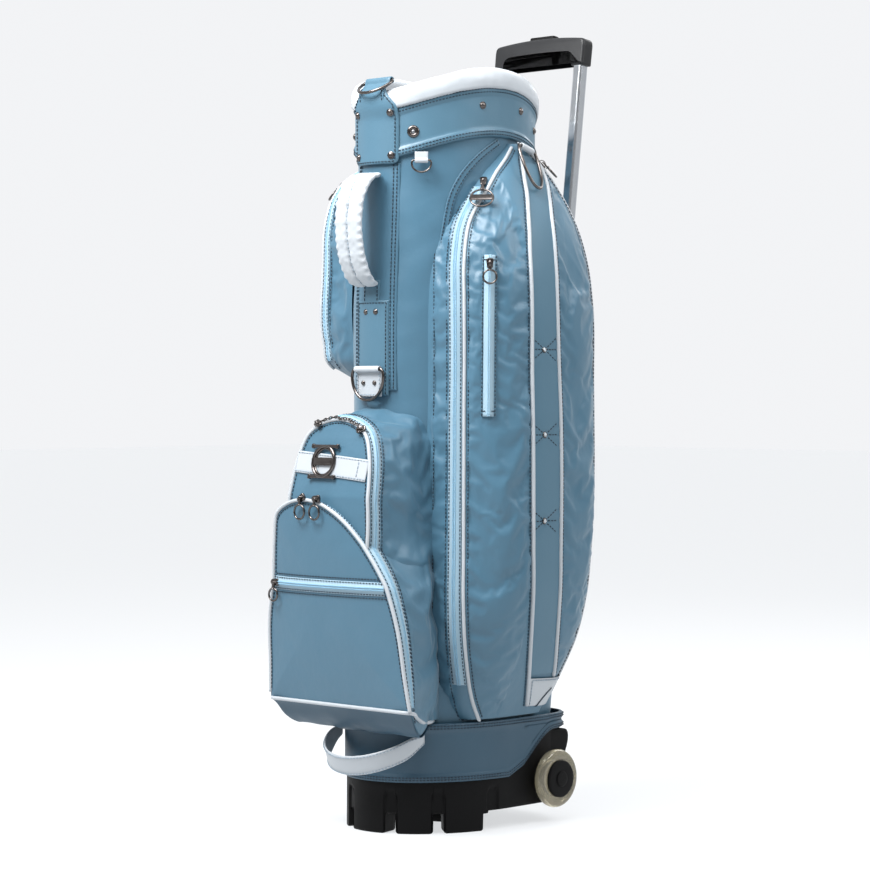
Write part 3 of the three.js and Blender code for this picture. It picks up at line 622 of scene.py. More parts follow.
def distance_to_paths(points, paths):
    """How far each point lies from the nearest point of any path."""
    lines = np.vstack(paths)
    tree = KDTree(len(lines))
    for i, p in enumerate(lines):
        tree.insert(p, i)
    tree.balance()
    return np.array([tree.find(p)[2] for p in points])


def near(points, paths, radius):
    """Which points lie within a radius of any of the paths."""
    return distance_to_paths(points, paths) < radius


def refine(obj):
    """Subdivision that rounds the shape between mesh points."""
    modifier = obj.modifiers.new("round", "SUBSURF")
    modifier.levels = modifier.render_levels = 1


# ---------------------------------------------------------------- base
FEET = [(-164, -138), (-138, -109), (-109, -71), (-71, -42), (-42, -16)]
FOOT_CORNER = 4.0
FLUTES = (-10, -42, -71, -109, -138, -170)
FLUTE_TOP = 40
FLUTE_DEPTH = 2.2
MOULDING_TOP = 118
WHEEL_Y = 71
WHEEL_Z = 50


def pad(outline_points, low_z, high_z, bevel):
    """Upright block with rounded lower edges."""
    centre = outline_points.mean(0)
    rows = []
    for z_at, share in ((high_z, 0), (low_z + bevel, 0), (low_z + bevel * 0.3, 0.3), (low_z, 1)):
        inward = outline_points - unit(outline_points - centre) * share * bevel
        rows.append(np.column_stack([inward, np.full(len(inward), z_at)]))
    points, faces = grid(np.array(rows), wrap=True, flip=True)
    n = len(outline_points)
    return points, faces + [list(range(3 * n, 4 * n))[::-1], list(range(n))]


def make_base():
    """Moulded base: fluted wall cut into feet in front, with a centre foot, a rear foot and fenders."""
    turn = np.linspace(0, 2 * math.pi, 1440, endpoint=False)
    degrees = (np.degrees(turn) + 180) % 360 - 180
    edge = base(turn, 0.0)
    floor = np.full(len(turn), float(BASE_FLOOR))
    low = floor
    for start, end in FEET:
        a = base(np.radians(start), 0.0)
        b = base(np.radians(end), 0.0)
        inside = (degrees > start) & (degrees < end)
        gap_a = np.linalg.norm(edge - a, axis=1) - (6 if start > -164 else 0)
        gap_b = np.linalg.norm(edge - b, axis=1) - (6 if end < -16 else 0)
        d = np.minimum(gap_a, gap_b)
        within = (FOOT_CORNER - np.clip(d, 0, FOOT_CORNER)) ** 2
        curve = FOOT_CORNER - np.sqrt(np.clip(FOOT_CORNER**2 - within, 0, None))
        low = np.where(inside & (d > 0), np.minimum(low, curve), low)
    z = low[:, None] + (MOULDING_TOP - low[:, None]) * np.linspace(0, 1, 40)[None, :]
    dent = np.zeros_like(z)
    for bearing in FLUTES:
        centre = base(np.radians(bearing), 0.0)
        side = np.linalg.norm(edge - centre, axis=1)[:, None]
        away = np.where(z > FLUTE_TOP, np.hypot(side, z - FLUTE_TOP), side + 0 * z)
        dent = np.maximum(dent, 1 - smoothstep(away, 7.2, 9.4))
    wall = base(turn[:, None], z, -FLUTE_DEPTH * dent)
    rings = [base(turn, MOULDING_TOP, -4.0)[:, None], wall[:, ::-1]]
    rings += [base(turn, low, grow)[:, None] for grow in (-0.4, -1.2, -6, -18, -23)]
    rings += [base(turn, floor, grow)[:, None] for grow in (-24.0, -60.0)]
    body = np.concatenate(rings, 1)
    points, faces = grid(body.transpose(1, 0, 2), wrap=True, flip=True)
    last = body.shape[1] - 1
    count = len(turn)
    faces.append(list(range(last * count, (last + 1) * count)))
    round_turn = np.linspace(0, 2 * math.pi, 72, endpoint=False)
    cos, sin = np.cos(round_turn), np.sin(round_turn)
    middle = 30 * np.stack([cos, sin], 1)
    rear = np.stack([12 * signed_power(cos, 0.3), 51 + 11 * signed_power(sin, 0.3)], 1)
    pads = [pad(shape, 0.0, BASE_FLOOR + 1.0, 1.5) for shape in (middle, rear)]
    parts = [(points, faces), *pads, fender(-1), fender(1)]
    make("base_moulding", joined(parts), BLACK, replaces=["base_shell"])


def fender(side):
    """Wheel housing beside the base: a disc run out into a block above and behind the wheel."""
    disc_radius = 40
    turn = np.linspace(0, 2 * math.pi, 120, endpoint=False)
    reach = np.zeros(len(turn))
    way = np.stack([np.cos(turn), np.sin(turn)], 1)
    for i, w in enumerate(way):
        for step in np.linspace(66, 30, 145):
            y, z = WHEEL_Y + w[0] * step, WHEEL_Z + w[1] * step
            if 66 <= y <= 108 and 84 <= z <= 104 or step <= disc_radius:
                reach[i] = step
                break
    for _ in range(2):
        reach = (np.roll(reach, 1) + 2 * reach + np.roll(reach, -1)) / 4
    rows = []
    for x, shrink in ((70, 0), (93.5, 0), (94.9, 0.6), (95.5, 2.0), (95.5, 8), (95.5, 30)):
        r = np.maximum(reach - shrink, 1)
        z = np.maximum(WHEEL_Z + way[:, 1] * r, BASE_FLOOR + 2 + min(shrink, 2))
        rows.append(np.stack([np.full(len(turn), side * x), WHEEL_Y + way[:, 0] * r, z], 1))
    return grid(np.array(rows), wrap=True, flip=side > 0)


def band_low(y):
    """Lower edge of the skirt, which rises over the wheels."""
    return lerp(58, 106, smoothstep(y, 0, 78))


def make_band():
    """Leatherette skirt round the base, with a folded and stitched edge above and below."""
    turn = np.linspace(0, 2 * math.pi, 720, endpoint=False)
    edge = base(turn, 0.0)
    low = band_low(edge[:, 1])
    profile = [
        (0.4, 0, 0), (2.2, 0, 0), (3.1, 0, 0.8), (3.4, 0, 2.2), (3.3, 0, 8), (2.5, 0, 9.2), (2.3, 0, 11)
    ]
    profile += [(2.3, share, 0) for share in np.linspace(0.25, 0.8, 8)]
    profile += [
        (2.3, 1, -11), (2.6, 1, -9.4), (3.4, 1, -8.2), (3.5, 1, -2), (3.1, 1, -0.7), (2.2, 1, 0),
        (0.4, 1, 0)
    ]
    rows = []
    for grow, share, lift in profile:
        z = lerp(low, BAND_TOP, share) + lift * np.minimum(1, (BAND_TOP - low) / 22)
        rows.append(base(turn, z, grow + 0.25 * noise(np.stack([edge[:, 0], edge[:, 1], z], 1), 60, 5)))
    # The skirt takes the darker leatherette: painted shade for the bottom of the bag.
    make("base_skirt", grid(np.array(rows), wrap=True), PAINTED_SHADE_LEATHER, replaces=["base_band"])
    rows = []
    front = np.linspace(-math.pi * 1.02, 0.02 * math.pi, 260)
    for share, lift in ((0, 2.6), (0, 5.6), (1, -2.6), (1, -5.8)):
        for arc in (front, np.linspace(0.02 * math.pi, math.pi * 0.98, 260)):
            bottom = band_low(base(arc, 0.0)[:, 1])
            z = lerp(bottom, BAND_TOP, share) + lift * np.minimum(1, (BAND_TOP - bottom) / 22)
            line = base(arc, z, 3.55)
            out = unit(base(arc, z, 4.5) - line)
            rows.append(stitches(line, out, pitch=4.0, length=2.8))
    make("base_skirt_stitching", joined(rows), THREAD)


def make_wheels():
    """Clear tyre and black hub on each side, and the caps on the ends of the axle."""
    for side, label in ((-1, "left"), (1, "right")):
        place = fixture([side * 108, WHEEL_Y, WHEEL_Z], bearing=0 if side > 0 else 180)
        tread = [(21.9, 6.2), (25, 6.4), (28.6, 6.0), (31.2, 4.9), (32.9, 3.0), (33.5, 1.0), (33.5, -1.0),
                 (32.9, -3.0), (31.2, -4.9), (28.6, -6.0), (25, -6.4), (21.9, -6.2), (21.7, 0), (21.9, 6.2)]
        tread = smooth_path([(r, h, 0) for r, h in tread], step=0.9)[:, :2]
        make(f"tyre_{label}", revolve(tread, place, 96), TYRE, f"wheel_{label}", [f"wheel_tyre_{label}"])
        hub = [(4.3, 9.3), (9.0, 9.3), (12, 9.35), (19.6, 9.4), (20.8, 9.1), (21.4, 8.3), (21.5, 7),
               (21.5, -7), (21.3, -8.6), (20.4, -9.3), (4.3, -9.3), (4.3, 9.3)]
        make(f"hub_{label}", revolve(hub, place, 96), BLACK, f"wheel_{label}", [f"wheel_hub_{label}"])
        cap = [(0.0, 10.5), (5, 10.5), (7.6, 10.4), (8.8, 10.2), (9, 9.9), (0, 9.9)]
        make(f"axle_end_{label}", revolve(cap, place, 48), BLACK, "root", [f"axle_cap_{label}"])


# ---------------------------------------------------------------- barrel, collar and cuff
def make_barrel():
    """Cloth outside of the barrel and its lining; returns the outside as a shape to lay things on."""
    angles = even_angles(300)
    share = np.r_[0, 0.11, np.linspace(0.115, 1, 150)]
    ring = barrel(angles, 760.0)
    high = rim(RIM["band_high"], ring[:, 1]) - 0.4
    z = 28 + (high[None, :] - 28) * share[:, None]
    outer = barrel(angles[None, :], z)
    soft = noise(outer, 90, 11) * 0.7 * smoothstep(z, 130, 200) * (1 - smoothstep(z, 740, 780))
    way = unit(barrel(angles[None, :], z, 1.0) - outer)
    outer = outer + way * (soft - 0.5)[..., None]
    make("barrel_cloth", grid(outer, wrap=True), NYLON, replaces=["body_shell"])
    z_in = z[::-1]
    inner = barrel(angles[None, :], z_in, -3.0)
    top_edge = barrel(angles, z[-1], -0.2)
    make("barrel_lining", grid(np.concatenate([top_edge[None], inner], 0), wrap=True), LINING)
    return grid(outer, wrap=True)


def collar_at(angle, share, grow, lift=0.0):
    """Point on the collar between its lower (0) and upper (1) edge."""
    y = barrel(angle, 800.0)[..., 1]
    z = lerp(rim(RIM["band_low"], y), rim(RIM["band_high"], y), share) + lift
    return barrel(angle, z, grow)


def make_collar():
    """Leatherette collar with folded and stitched edges."""
    angles = even_angles(360)
    profile = [
        (0.4, 0, 0), (2.4, 0, 0), (3.9, 0, 0.8), (4.3, 0, 2.4), (4.2, 0, 8.4), (3.3, 0, 9.8), (2.9, 0, 11)
    ]
    profile += [(2.9, s, 0) for s in np.linspace(0.24, 0.78, 8)]
    profile += [
        (2.9, 1, -11.4), (3.3, 1, -10), (4.2, 1, -8.6), (4.3, 1, -2.4), (3.9, 1, -0.8), (2.4, 1, 0),
        (0.4, 1, 0)
    ]
    rows = np.array([collar_at(angles, share, grow, lift) for grow, share, lift in profile])
    rows = rows + unit(rows * [1, 1, 0]) * (0.3 * noise(rows, 50, 21))[..., None]
    make("collar", grid(rows, wrap=True), LEATHER, replaces=["collar_band"])
    lines = []
    arc = np.linspace(0, 2 * math.pi, 500)
    for share, lift in ((0, 2.8), (0, 6.4), (1, -2.8), (1, -6.6)):
        line = collar_at(arc, share, 4.35, lift)
        lines.append(stitches(line, unit(collar_at(arc, share, 5, lift) - line), pitch=4.0, length=2.8))
    make("collar_stitching", joined(lines), THREAD)


CUFF_HEIGHT = 22
CUFF_PROFILE = np.array([
    [4.5, -0.15], [6.2, -0.14], [7.4, 0.08], [7.6, 0.38], [6.2, 0.7], [2.6, 0.93], [-3.5, 1.0], [-9, 0.98],
    [-13, 0.86], [-15, 0.45], [-14, -0.1], [-11, -0.8], [-8, -1.2], [-5.4, -1.42], [-3.7, -1.35],
    [-3.6, -0.6], [-3.6, 0.0],
])


def make_cuff():
    """Padded roll round the mouth, with soft puckers along its seams."""
    angles = even_angles(420)
    knots = np.column_stack([CUFF_PROFILE * [1, CUFF_HEIGHT], np.zeros(len(CUFF_PROFILE))])
    profile = smooth_path(knots, count=46)[:, :2] / [1, CUFF_HEIGHT]
    ring = barrel(angles, 860.0)
    low = rim(RIM["band_high"], ring[:, 1]) + 0.4
    high = rim(RIM["cuff_top"], ring[:, 1])
    rows = []
    for grow, share in profile:
        z = lerp(low, high, share)
        row = barrel(angles, np.maximum(z, 790), grow)
        row[:, 2] = z
        rows.append(row)
    rows = np.array(rows)
    centre = barrel(angles, 860.0, -4.0)
    centre[:, 2] = lerp(low, high, 0.45)
    way = unit(rows - centre[None])
    near_seam = smoothstep(np.abs(profile[:, 1] - 0.5), 0.2, 0.5)[:, None]
    puff = 0.5 * noise(rows, 46, 31) - 0.25 * np.abs(noise(rows, 15, 33)) * near_seam
    rows += way * puff[..., None]
    cuff = make("cuff", grid(rows, wrap=True), WHITE, replaces=["cuff_pad"])


make_base()
make_band()
make_wheels()
barrel_shape = make_barrel()
make_collar()
make_cuff()


# ---------------------------------------------------------------- side pockets
# Rows are (height, reach from the middle of the bag, front edge, rear edge).
RIGHT_POCKET = [
    (127, 100, -62, 60), (170, 122, -81, 72), (215, 139, -95, 86), (260, 149, -100, 94), (320, 155, -98, 98),
    (510, 157, -92, 100), (600, 156, -91, 99), (645, 151, -86, 95), (685, 141, -72, 87), (717, 127, -50, 77),
    (748, 111, -27, 61), (768, 100, -6, 45), (782, 93, 8, 30),
]
LEFT_UPPER_POCKET = [
    (514, 108, -72, 60), (528, 136, -86, 80), (556, 148, -92, 92), (640, 149, -93, 95), (700, 146, -88, 88),
    (724, 140, -80, 80), (750, 122, -60, 66), (768, 100, -25, 45),
]
LEFT_LOWER_POCKET = [
    (127, 100, -62, 60), (160, 118, -78, 75), (230, 132, -84, 88), (330, 134, -82, 92), (365, 122, -76, 84),
    (385, 100, -60, 60),
]


def side_shape(rows, sign, cols=150, step=3.2):
    """Lofted side pocket: rounded in front, squarer behind, open at the barrel, clear of the tubes."""
    rows = np.array(rows, float)
    z = np.linspace(rows[0, 0], rows[-1, 0], int((rows[-1, 0] - rows[0, 0]) / step))
    reach, front, back = hermite(rows[:, 0], rows[:, 1:], z).T
    bend = np.linspace(-1, 1, 900)
    angle = signed_power(bend, 2.6) * math.pi / 2
    power = np.where(angle < 0, 2 / 3, 2 / 7)
    out = np.cos(angle) ** power
    side = signed_power(np.sin(angle), power)
    rings = []
    for level, r, a, b in zip(z, reach, front, back):
        ring = np.column_stack([
            sign * (60 + (r - 60) * out), (a + b) / 2 + (b - a) / 2 * side, np.full(len(bend), level),
        ])
        tube_front = 65 + math.tan(TOWER_LEAN) * (level - 60) - 13
        ring[:, 1] = np.minimum(ring[:, 1], tube_front + 80 * smoothstep(np.abs(ring[:, 0]), 75, 88))
        rings.append(resample(ring, count=cols))
    return np.array(rings)


def wrinkle(points, paths, reach, depth, wave, seed, slant):
    """Puckers that start at seams and die out away from them, and long soft folds between."""
    away = distance_to_paths(points.reshape(-1, 3), paths).reshape(points.shape[:-1])
    fade = smoothstep(away, 1.0, 7) * (1 - 0.75 * smoothstep(away, reach * 0.5, reach))
    slanted = points @ unit(np.array(slant, float)) * 0.9
    warp = 12 * noise(points, 90, seed)
    ridges = np.sin((slanted + warp) * 2 * math.pi / wave) * (0.6 + 0.4 * noise(points, 70, seed + 1))
    long_folds = noise(points * [1, 1, 0.35], 46, seed + 2)
    tilted = points @ np.array([[1, 0, 0], [0, 0.86, -0.5], [0, 0.5, 0.86]]) * [1, 1, 0.24]
    streaks = (1 - np.abs(noise(tilted, 34, seed + 3, 2))) ** 3
    streaks = streaks * smoothstep(noise(points, 120, seed + 4), -0.3, 0.5)
    near_seam = ridges * depth * (1 - smoothstep(away, 4, reach))
    return fade * (near_seam + long_folds * depth * 1.1) + smoothstep(away, 2, 9) * streaks * depth * 0.9


def normals_of(points, flip):
    """Unit normals of a grid of points."""
    n = unit(np.cross(np.gradient(points, axis=1), np.gradient(points, axis=0)))
    return -n if flip else n


SIDE_FRONT = [
    (93, -43, 124), (99, -61, 151), (109, -81, 198), (115, -92, 266), (114, -90, 377), (112, -87, 478),
    (111, -86, 600), (107, -82, 645), (104, -76, 667), (101, -67, 688), (100, -52, 708), (101, -38, 726),
    (99, -20, 747), (97, -4, 762), (94, 10, 777)
]
SIDE_REAR = [
    (113, 66, 130), (119, 74, 165), (132, 86, 215), (139, 94, 260), (143, 98, 320), (145, 100, 510),
    (144, 99, 600), (139, 95, 645), (130, 86, 685), (118, 75, 717), (106, 58, 748), (97, 40, 768),
    (93, 27, 780)
]
SIDE_MIDDLE_FRONT = [
    (104, 22, 140), (120, 8, 170), (136, -5, 205), (154, -20, 309), (157, -24, 478), (155, -24, 598),
    (148, -19, 659), (139, -11, 690), (124, 2, 722), (113, 9, 743), (100, 19, 767)
]
SIDE_MIDDLE_REAR = [
    (122, 50, 172), (139, 37, 214), (154, 26, 307), (157, 22, 478), (156, 18, 599), (148, 23, 661),
    (138, 29, 692), (127, 38, 718), (114, 45, 741), (103, 45, 761)
]
PIPING = 2.1
MIDDLE_PIPING = 2.4
SEAM_HOLD = 3.2
SIDE_ZIP_OFFSET = 11.5
STRIP_EDGES = (-22, 20)
CORNER_TOP = 186


def lift_grid(points, amount, flip=False):
    """Grid raised along its normals."""
    return points + normals_of(points, flip) * np.asarray(amount, float)[..., None]


def edge_rows(rows, cols):
    """Mask of the outermost rows and columns of a pocket's mesh, where it is sewn on."""
    border = np.zeros((rows, cols), bool)
    border[:2] = border[-2:] = True
    border[:, :3] = border[:, -3:] = True
    return border


def laid_between(skin, front, rear, heights, share):
    """Grid laid on a surface between two lines, at some heights and shares of the way across."""
    ends = []
    for line, _ in (front, rear):
        ends.append(np.stack([np.interp(heights, line[:, 2], line[:, k]) for k in range(3)], 1))
    a, b = ends
    flat = a[:, None] + (b - a)[:, None] * share[None, :, None]
    return skin.lay(flat.reshape(-1, 3), smooth=0)[0].reshape(flat.shape)


def make_right_pocket():
    """Long side pocket: creased cloth between pinned seams, with its pipings, zips and middle strip."""
    shape = side_shape(RIGHT_POCKET, 1)
    skin = Skin(grid(shape))
    lines = (SIDE_FRONT, SIDE_MIDDLE_FRONT, SIDE_MIDDLE_REAR, SIDE_REAR)
    front, middle_front, middle_rear, rear = (skin.lay(smooth_path(line, 3)) for line in lines)
    zip_front = skin.lay(shifted(front, -SIDE_ZIP_OFFSET))
    zip_rear = skin.lay(shifted(rear, SIDE_ZIP_OFFSET))
    inner = skin.lay(smooth_path([(140.5, -76, 653), (140.5, -78, 560), (140.5, -79, 470)], 3))
    pinned_lines = [front[0], middle_front[0], middle_rear[0], rear[0]]
    tapes = [zip_front[0], zip_rear[0]]
    flat = shape.reshape(-1, 3)
    stiff = near(flat, pinned_lines, SEAM_HOLD) | near(flat, tapes, 9.5) | near(flat, [inner[0]], 8)
    border = edge_rows(*shape.shape[:2])
    fold = wrinkle(shape, pinned_lines + tapes + [inner[0]], 30, 0.85, 19, 51, (0, 0.6, 1))
    crease = (~stiff).reshape(border.shape) * (~border) * fold
    strip = (shape[..., 1] > STRIP_EDGES[0]) & (shape[..., 1] < STRIP_EDGES[1])
    above_corner = smoothstep(shape[..., 2] - 0.2 * shape[..., 1], 160, 190)
    shaped = grid(lift_grid(shape, np.where(strip, crease * 0.25, crease) * above_corner))
    cloth = make("side_pocket_cloth", shaped, CREASED_NYLON, replaces=["side_pocket_right"], closed=False)
    corner = (shape[..., 2] < CORNER_TOP) & (shape[..., 1] > 0)
    simulate(cloth, stiff | border.ravel() | strip.ravel() | corner.ravel(), spare=0.018, cap=2.8)
    refine(cloth)
    piping_on("side_piping_front", front, PIPING)
    piping_on("side_piping_middle_front", middle_front, MIDDLE_PIPING)
    piping_on("side_piping_middle_rear", middle_rear, MIDDLE_PIPING)
    piping_on("side_piping_rear", rear, PIPING)
    main_zip = zip_front[0][(zip_front[0][:, 2] > 168) & (zip_front[0][:, 2] < 737)]
    zip_on("side_zip", skin, main_zip[::6], 17)
    rear_zip = zip_rear[0][(zip_rear[0][:, 2] > 190) & (zip_rear[0][:, 2] < 757)]
    zip_on("rear_zip", skin, rear_zip[::6], 16)
    inner_zip(inner)
    rows = [
        (front, -24), (front, -44), (front, 4.8), (middle_front, -4.4), (middle_rear, 4.4), (rear, 19),
        (rear, -4.6)
    ]
    stitch_on("side_pocket_stitching", [skin.lay(shifted(line, side), 0.1) for line, side in rows])
    middle_strip(skin, middle_front, middle_rear)
    corner_patch(skin, middle_front, rear)


def inner_zip(path):
    """Straight zip set into a stitched slot on the front panel of the side pocket."""
    points, normals = path
    stitch_x = 7.4
    make("inner_zip_facing", sweep(points + normals * 0.4, normals, strip_profile(17.0, 1.1)), LEATHER)
    make("inner_zip_tape", sweep(points + normals * 1.3, normals, ZIP_TAPE * 6.0), TAPE)
    coil = []
    for side in (-0.9, 0.9):
        coil.append(stitches(shifted(path, side) + normals * 2.5, normals, width=1.5, **COIL))
    make("inner_zip_coil", joined(coil), TEETH)
    rows = [(shifted(path, side) + normals * 1.5, normals) for side in (-stitch_x, stitch_x)]
    _, across, _ = path_frame(points, normals)
    ends = []
    for i in (2, -3):
        row = points[i] + across[i] * np.linspace(-stitch_x, stitch_x, 7)[:, None]
        ends.append((row + normals[i] * 1.5, np.repeat(normals[i][None], 7, 0)))
    stitch_on("inner_zip_stitching", rows + ends, lift=0.2)


CRYSTAL_HEIGHTS = (545, 449, 352)


def middle_strip(skin, front, rear):
    """Leatherette strip between the middle pipings, quilted at three crystals."""
    zs = np.arange(176, 760, 3.0)
    share = np.linspace(0, 1, 25)
    laid = laid_between(skin, front, rear, zs, share)
    height = 0.7 + 0.9 * np.sin(np.pi * share)[None, :] ** 0.6 * np.ones((len(zs), 1))
    for z in CRYSTAL_HEIGHTS:
        dz = (zs - z)[:, None]
        dx = (share - 0.5)[None, :] * 46
        for line in (np.abs(dz), np.abs(dz - dx * 0.62) / 1.18, np.abs(dz + dx * 0.62) / 1.18):
            inside = np.abs(dz) < 17
            height -= np.where(inside, 0.75 * np.exp(-((line / 2.2) ** 2)), 0)
    strip = lift_grid(laid, height)
    make("centre_strip", grid(strip), LEATHER, closed=False)
    rows, stones, cups = [], [], []
    surface = Skin(grid(strip))
    for z in CRYSTAL_HEIGHTS:
        middle = np.array([158.0, -5.0, z])
        for y, rise in ((21, 0), (20, 13), (20, -13)):
            end = np.array([0, y, rise])
            rows.append(surface.lay(middle + np.linspace(0, 1, 24)[:, None] * 2 * end + -end, -0.1))
        spot, normal, _, _ = surface.tree.find_nearest(Vector(middle))
        place = facing(np.array(spot), np.array(normal))
        stones.append(revolve([(0, 2.6), (1.5, 2.6), (2.7, 1.5), (2.9, 0.9), (0, 0.9)], place, 10))
        cups.append(
            revolve([(2.6, 1.5), (3.1, 1.7), (3.5, 1.0), (3.6, 0), (0, 0), (0, 0.8), (2.6, 1.1)], place, 28)
        )
    stitch_on("quilt_stitching", rows, lift=0.1)
    make("crystals", joined(stones), CRYSTAL, smooth=False)
    make("crystal_cups", joined(cups), GUNMETAL)


def corner_patch(skin, front, rear):
    """White leather at the foot of the strip, with a slanted slit whose opening is painted shade: a thin
    dark strip laid on the leather.
    """
    laid = laid_between(skin, front, rear, np.linspace(119, 172, 26), np.linspace(0.02, 0.98, 30))
    patch = lift_grid(laid, 2.2)
    make("corner_leather", grid(patch), WHITE, closed=False)
    surface = Skin(grid(patch))
    slant = [patch[int(4 + 15 * t), int(9 + 14 * t)] for t in np.linspace(0, 1, 16)]
    slit = surface.lay(np.array(slant), 0.1)
    # The slit is not cut: its shade is painted as a thin dark strip.
    make("corner_slit_painted_shade", sweep(*slit, strip_profile(2.6, 0.5)), THREAD)
    edges = [patch[1:-1, 2], patch[-2, 2:-2]]
    stitch_on("corner_stitching", [surface.lay(edge, 0.1) for edge in edges], GREY_THREAD)


def make_pocket_seam():
    """Folded seam with two stitch rows, where the side pocket's gusset meets the barrel."""
    line = [
        (87, -5, 783), (84, -32, 765), (79, -51, 746), (73, -65, 720), (70, -73, 686), (68, -79, 646),
        (67, -83, 601), (66, -85, 544)
    ]
    skin = Skin(barrel_shape)
    path = skin.lay(smooth_path(line, 2), 0.4)
    make("pocket_seam", sweep(*path, strip_profile(9, 0.9)), NYLON)
    rows = [(shifted(path, side) + path[1] * 0.95, path[1]) for side in (-2.6, 2.6)]
    stitch_on("pocket_seam_stitching", rows, lift=0.1)


# ---------------------------------------------------------------- front pockets
ARCH_POINTS = 110
FOOT_POINTS = 50
TAPE_GAP = 3.0
# Half arches as (x, z) at three depths, how far the arch leans at each height, and how far the foot sags.
BALL_POCKET = {
    "front": [(112, 147), (108, 180), (102, 240), (90, 284), (80, 310), (66, 338), (50, 359), (26, 372)],
    "middle": [(96, 131), (98, 175), (96, 235), (86, 300), (66, 342), (45, 358), (22, 366)],
    "back": [(67, 127), (67, 170), (67, 230), (66, 290), (56, 330), (40, 343), (20, 348)],
    "shift": [(284, 0), (308, -6), (331, -13), (347, -20), (358, -26), (366, -29), (376, -30)],
    "sag": 15,
}
UPPER_POCKET = {
    "front": [(61, 318), (63, 345), (63, 368), (61, 398), (56, 426), (45, 450), (22, 463)],
    "middle": [(77, 302), (73, 340), (71, 370), (69, 402), (62, 436), (47, 460), (23, 473)],
    "back": [(66, 282), (67, 340), (67, 372), (67, 410), (62, 448), (46, 476), (23, 488)],
    "shift": [(300, 0), (500, 0)],
    "sag": 0,
}


def ball_face(z):
    """Y of the ball pocket's front at a height."""
    return -174 - 0.11 * (z - 147)


def upper_face(z):
    """Y of the upper front pocket's front at a height."""
    return -190 + 0.2 * np.maximum(0, z - 380)


def arch(rows, count=ARCH_POINTS):
    """Arched outline in x and z from the right foot over the top to the left foot."""
    rows = np.array(rows, float)
    whole = np.vstack([rows, rows[::-1] * [-1, 1]])
    whole = np.column_stack([whole, np.zeros(len(whole))])
    return smooth_path(whole, count=count)[:, :2]


def sway(pocket, z):
    """How far the top of an arched pocket leans to its left."""
    return np.interp(z, *np.transpose(pocket["shift"]))


def front_shell(pocket, face, crown, seed):
    """Gusset (from the front edge back to the barrel) and front panel of an arched pocket."""
    rings = []
    sections = (
        ("front", face, 1), ("middle", lambda z: -138 + 0 * z, 0.6), ("back", lambda z: -80 + 0 * z, 0)
    )
    for name, depth, lean in sections:
        over = arch(pocket[name])
        over[:, 0] += sway(pocket, over[:, 1]) * lean
        foot = np.linspace(over[-1], over[0], FOOT_POINTS + 2)[1:-1]
        ring = np.vstack([over, foot])
        rings.append(np.column_stack([ring[:, 0], depth(ring[:, 1]), ring[:, 1]]))
    rings = np.array(rings)
    knots = np.array([0.0, 0.42, 1.0])
    at = np.r_[0, 0.01, 0.025, np.linspace(0.05, 1, 34)]
    gusset = np.stack([hermite(knots, rings[:, i], at) for i in range(rings.shape[1])], 1)
    y, z = gusset[..., 1], gusset[..., 2]
    reach = np.where(y < -143, 24, 13)
    belly = np.exp(-(((y + 143) / reach) ** 2)) * smoothstep(y, -174, -158) * (1 - smoothstep(z, 150, 178))
    gusset[..., 2] = z - pocket["sag"] * belly
    centre = rings[0].mean(0)
    centre[2] = 0.5 * (rings[0][:, 2].min() + rings[0][:, 2].max())
    share = np.r_[1, 0.992, 0.98, np.linspace(0.955, 0.0, 26)]
    panel = centre + (rings[0] - centre)[None] * share[:, None, None]
    lift = crown * (1 - share**3)[:, None] * np.ones(panel.shape[:2])
    panel[..., 1] = face(panel[..., 2]) - lift
    puff = 1.2 * noise(gusset, 70, seed) * smoothstep(at, 0.05, 0.3)[:, None]
    return lift_grid(gusset, puff, True), panel


def edge_path(pocket, face):
    """Front edge of an arched pocket, from foot to foot."""
    over = arch(pocket["front"], 260)
    over[:, 0] += sway(pocket, over[:, 1])
    return np.column_stack([over[:, 0], face(over[:, 1]), over[:, 1]])


def gusset_row(gusset, depth):
    """Line on the gusset at a distance behind the front edge."""
    line = []
    for i in range(ARCH_POINTS):
        column = gusset[:, i]
        along = chord_lengths(column)
        line.append([np.interp(depth, along, column[:, k]) for k in range(3)])
    return np.array(line)


def make_front_pocket(name, node, pocket, face, seed, crown, tape_width):
    """Arched pocket with a zip round its gusset; returns its surface and its gusset."""
    gusset, panel = front_shell(pocket, face, crown, seed)
    skin = Skin(grid(gusset, wrap=True, flip=True), grid(panel, wrap=True))
    edge = edge_path(pocket, face)
    tape = gusset_row(gusset, TAPE_GAP + tape_width / 2)
    zip_end = TAPE_GAP + tape_width
    crease = wrinkle(gusset, [tape, edge, gusset[-9, :ARCH_POINTS]], 34, 1.0, 23, seed, (0.2, 0.6, 0.8))
    depth = np.linalg.norm(gusset - gusset[:1], axis=-1)
    crease *= smoothstep(depth, zip_end, zip_end + 9)
    shaped = grid(lift_grid(gusset, crease, True), wrap=True, flip=True)
    side = make(name + "_gusset", shaped, CREASED_NYLON, closed=False)
    held = depth < zip_end + 2
    held[-3:] = True
    held[:, ARCH_POINTS - 1 :] = True
    held[:, :2] = True
    simulate(side, held.ravel())
    refine(side)
    front = make(name + "_panel", grid(panel, wrap=True), NYLON, replaces=[node], closed=False)
    refine(front)
    path = skin.lay(smooth_path(edge[::4], 2.5), 0.0)
    out = unit(path[0] - (path[0].mean(0) + [0, 60, -40]))
    piping_on(name + "_piping", (path[0], unit(out + [0, -0.6, 0])), PIPING, lift=0.3)
    zip_on(name + "_zip", skin, tape[2:-2:4], tape_width)
    behind_zip = gusset_row(gusset, zip_end + 2.5)
    inside_edge = edge + unit((edge.mean(0) - edge) * [1, 0, 1]) * 4.4
    rows = [(behind_zip, 0.15), (inside_edge, 0.1)]
    stitch_on(name + "_stitching", [skin.lay(smooth_path(row[::4], 2.5), lift) for row, lift in rows])
    return skin, gusset


BALL_ZIP_HEIGHT = 281.0


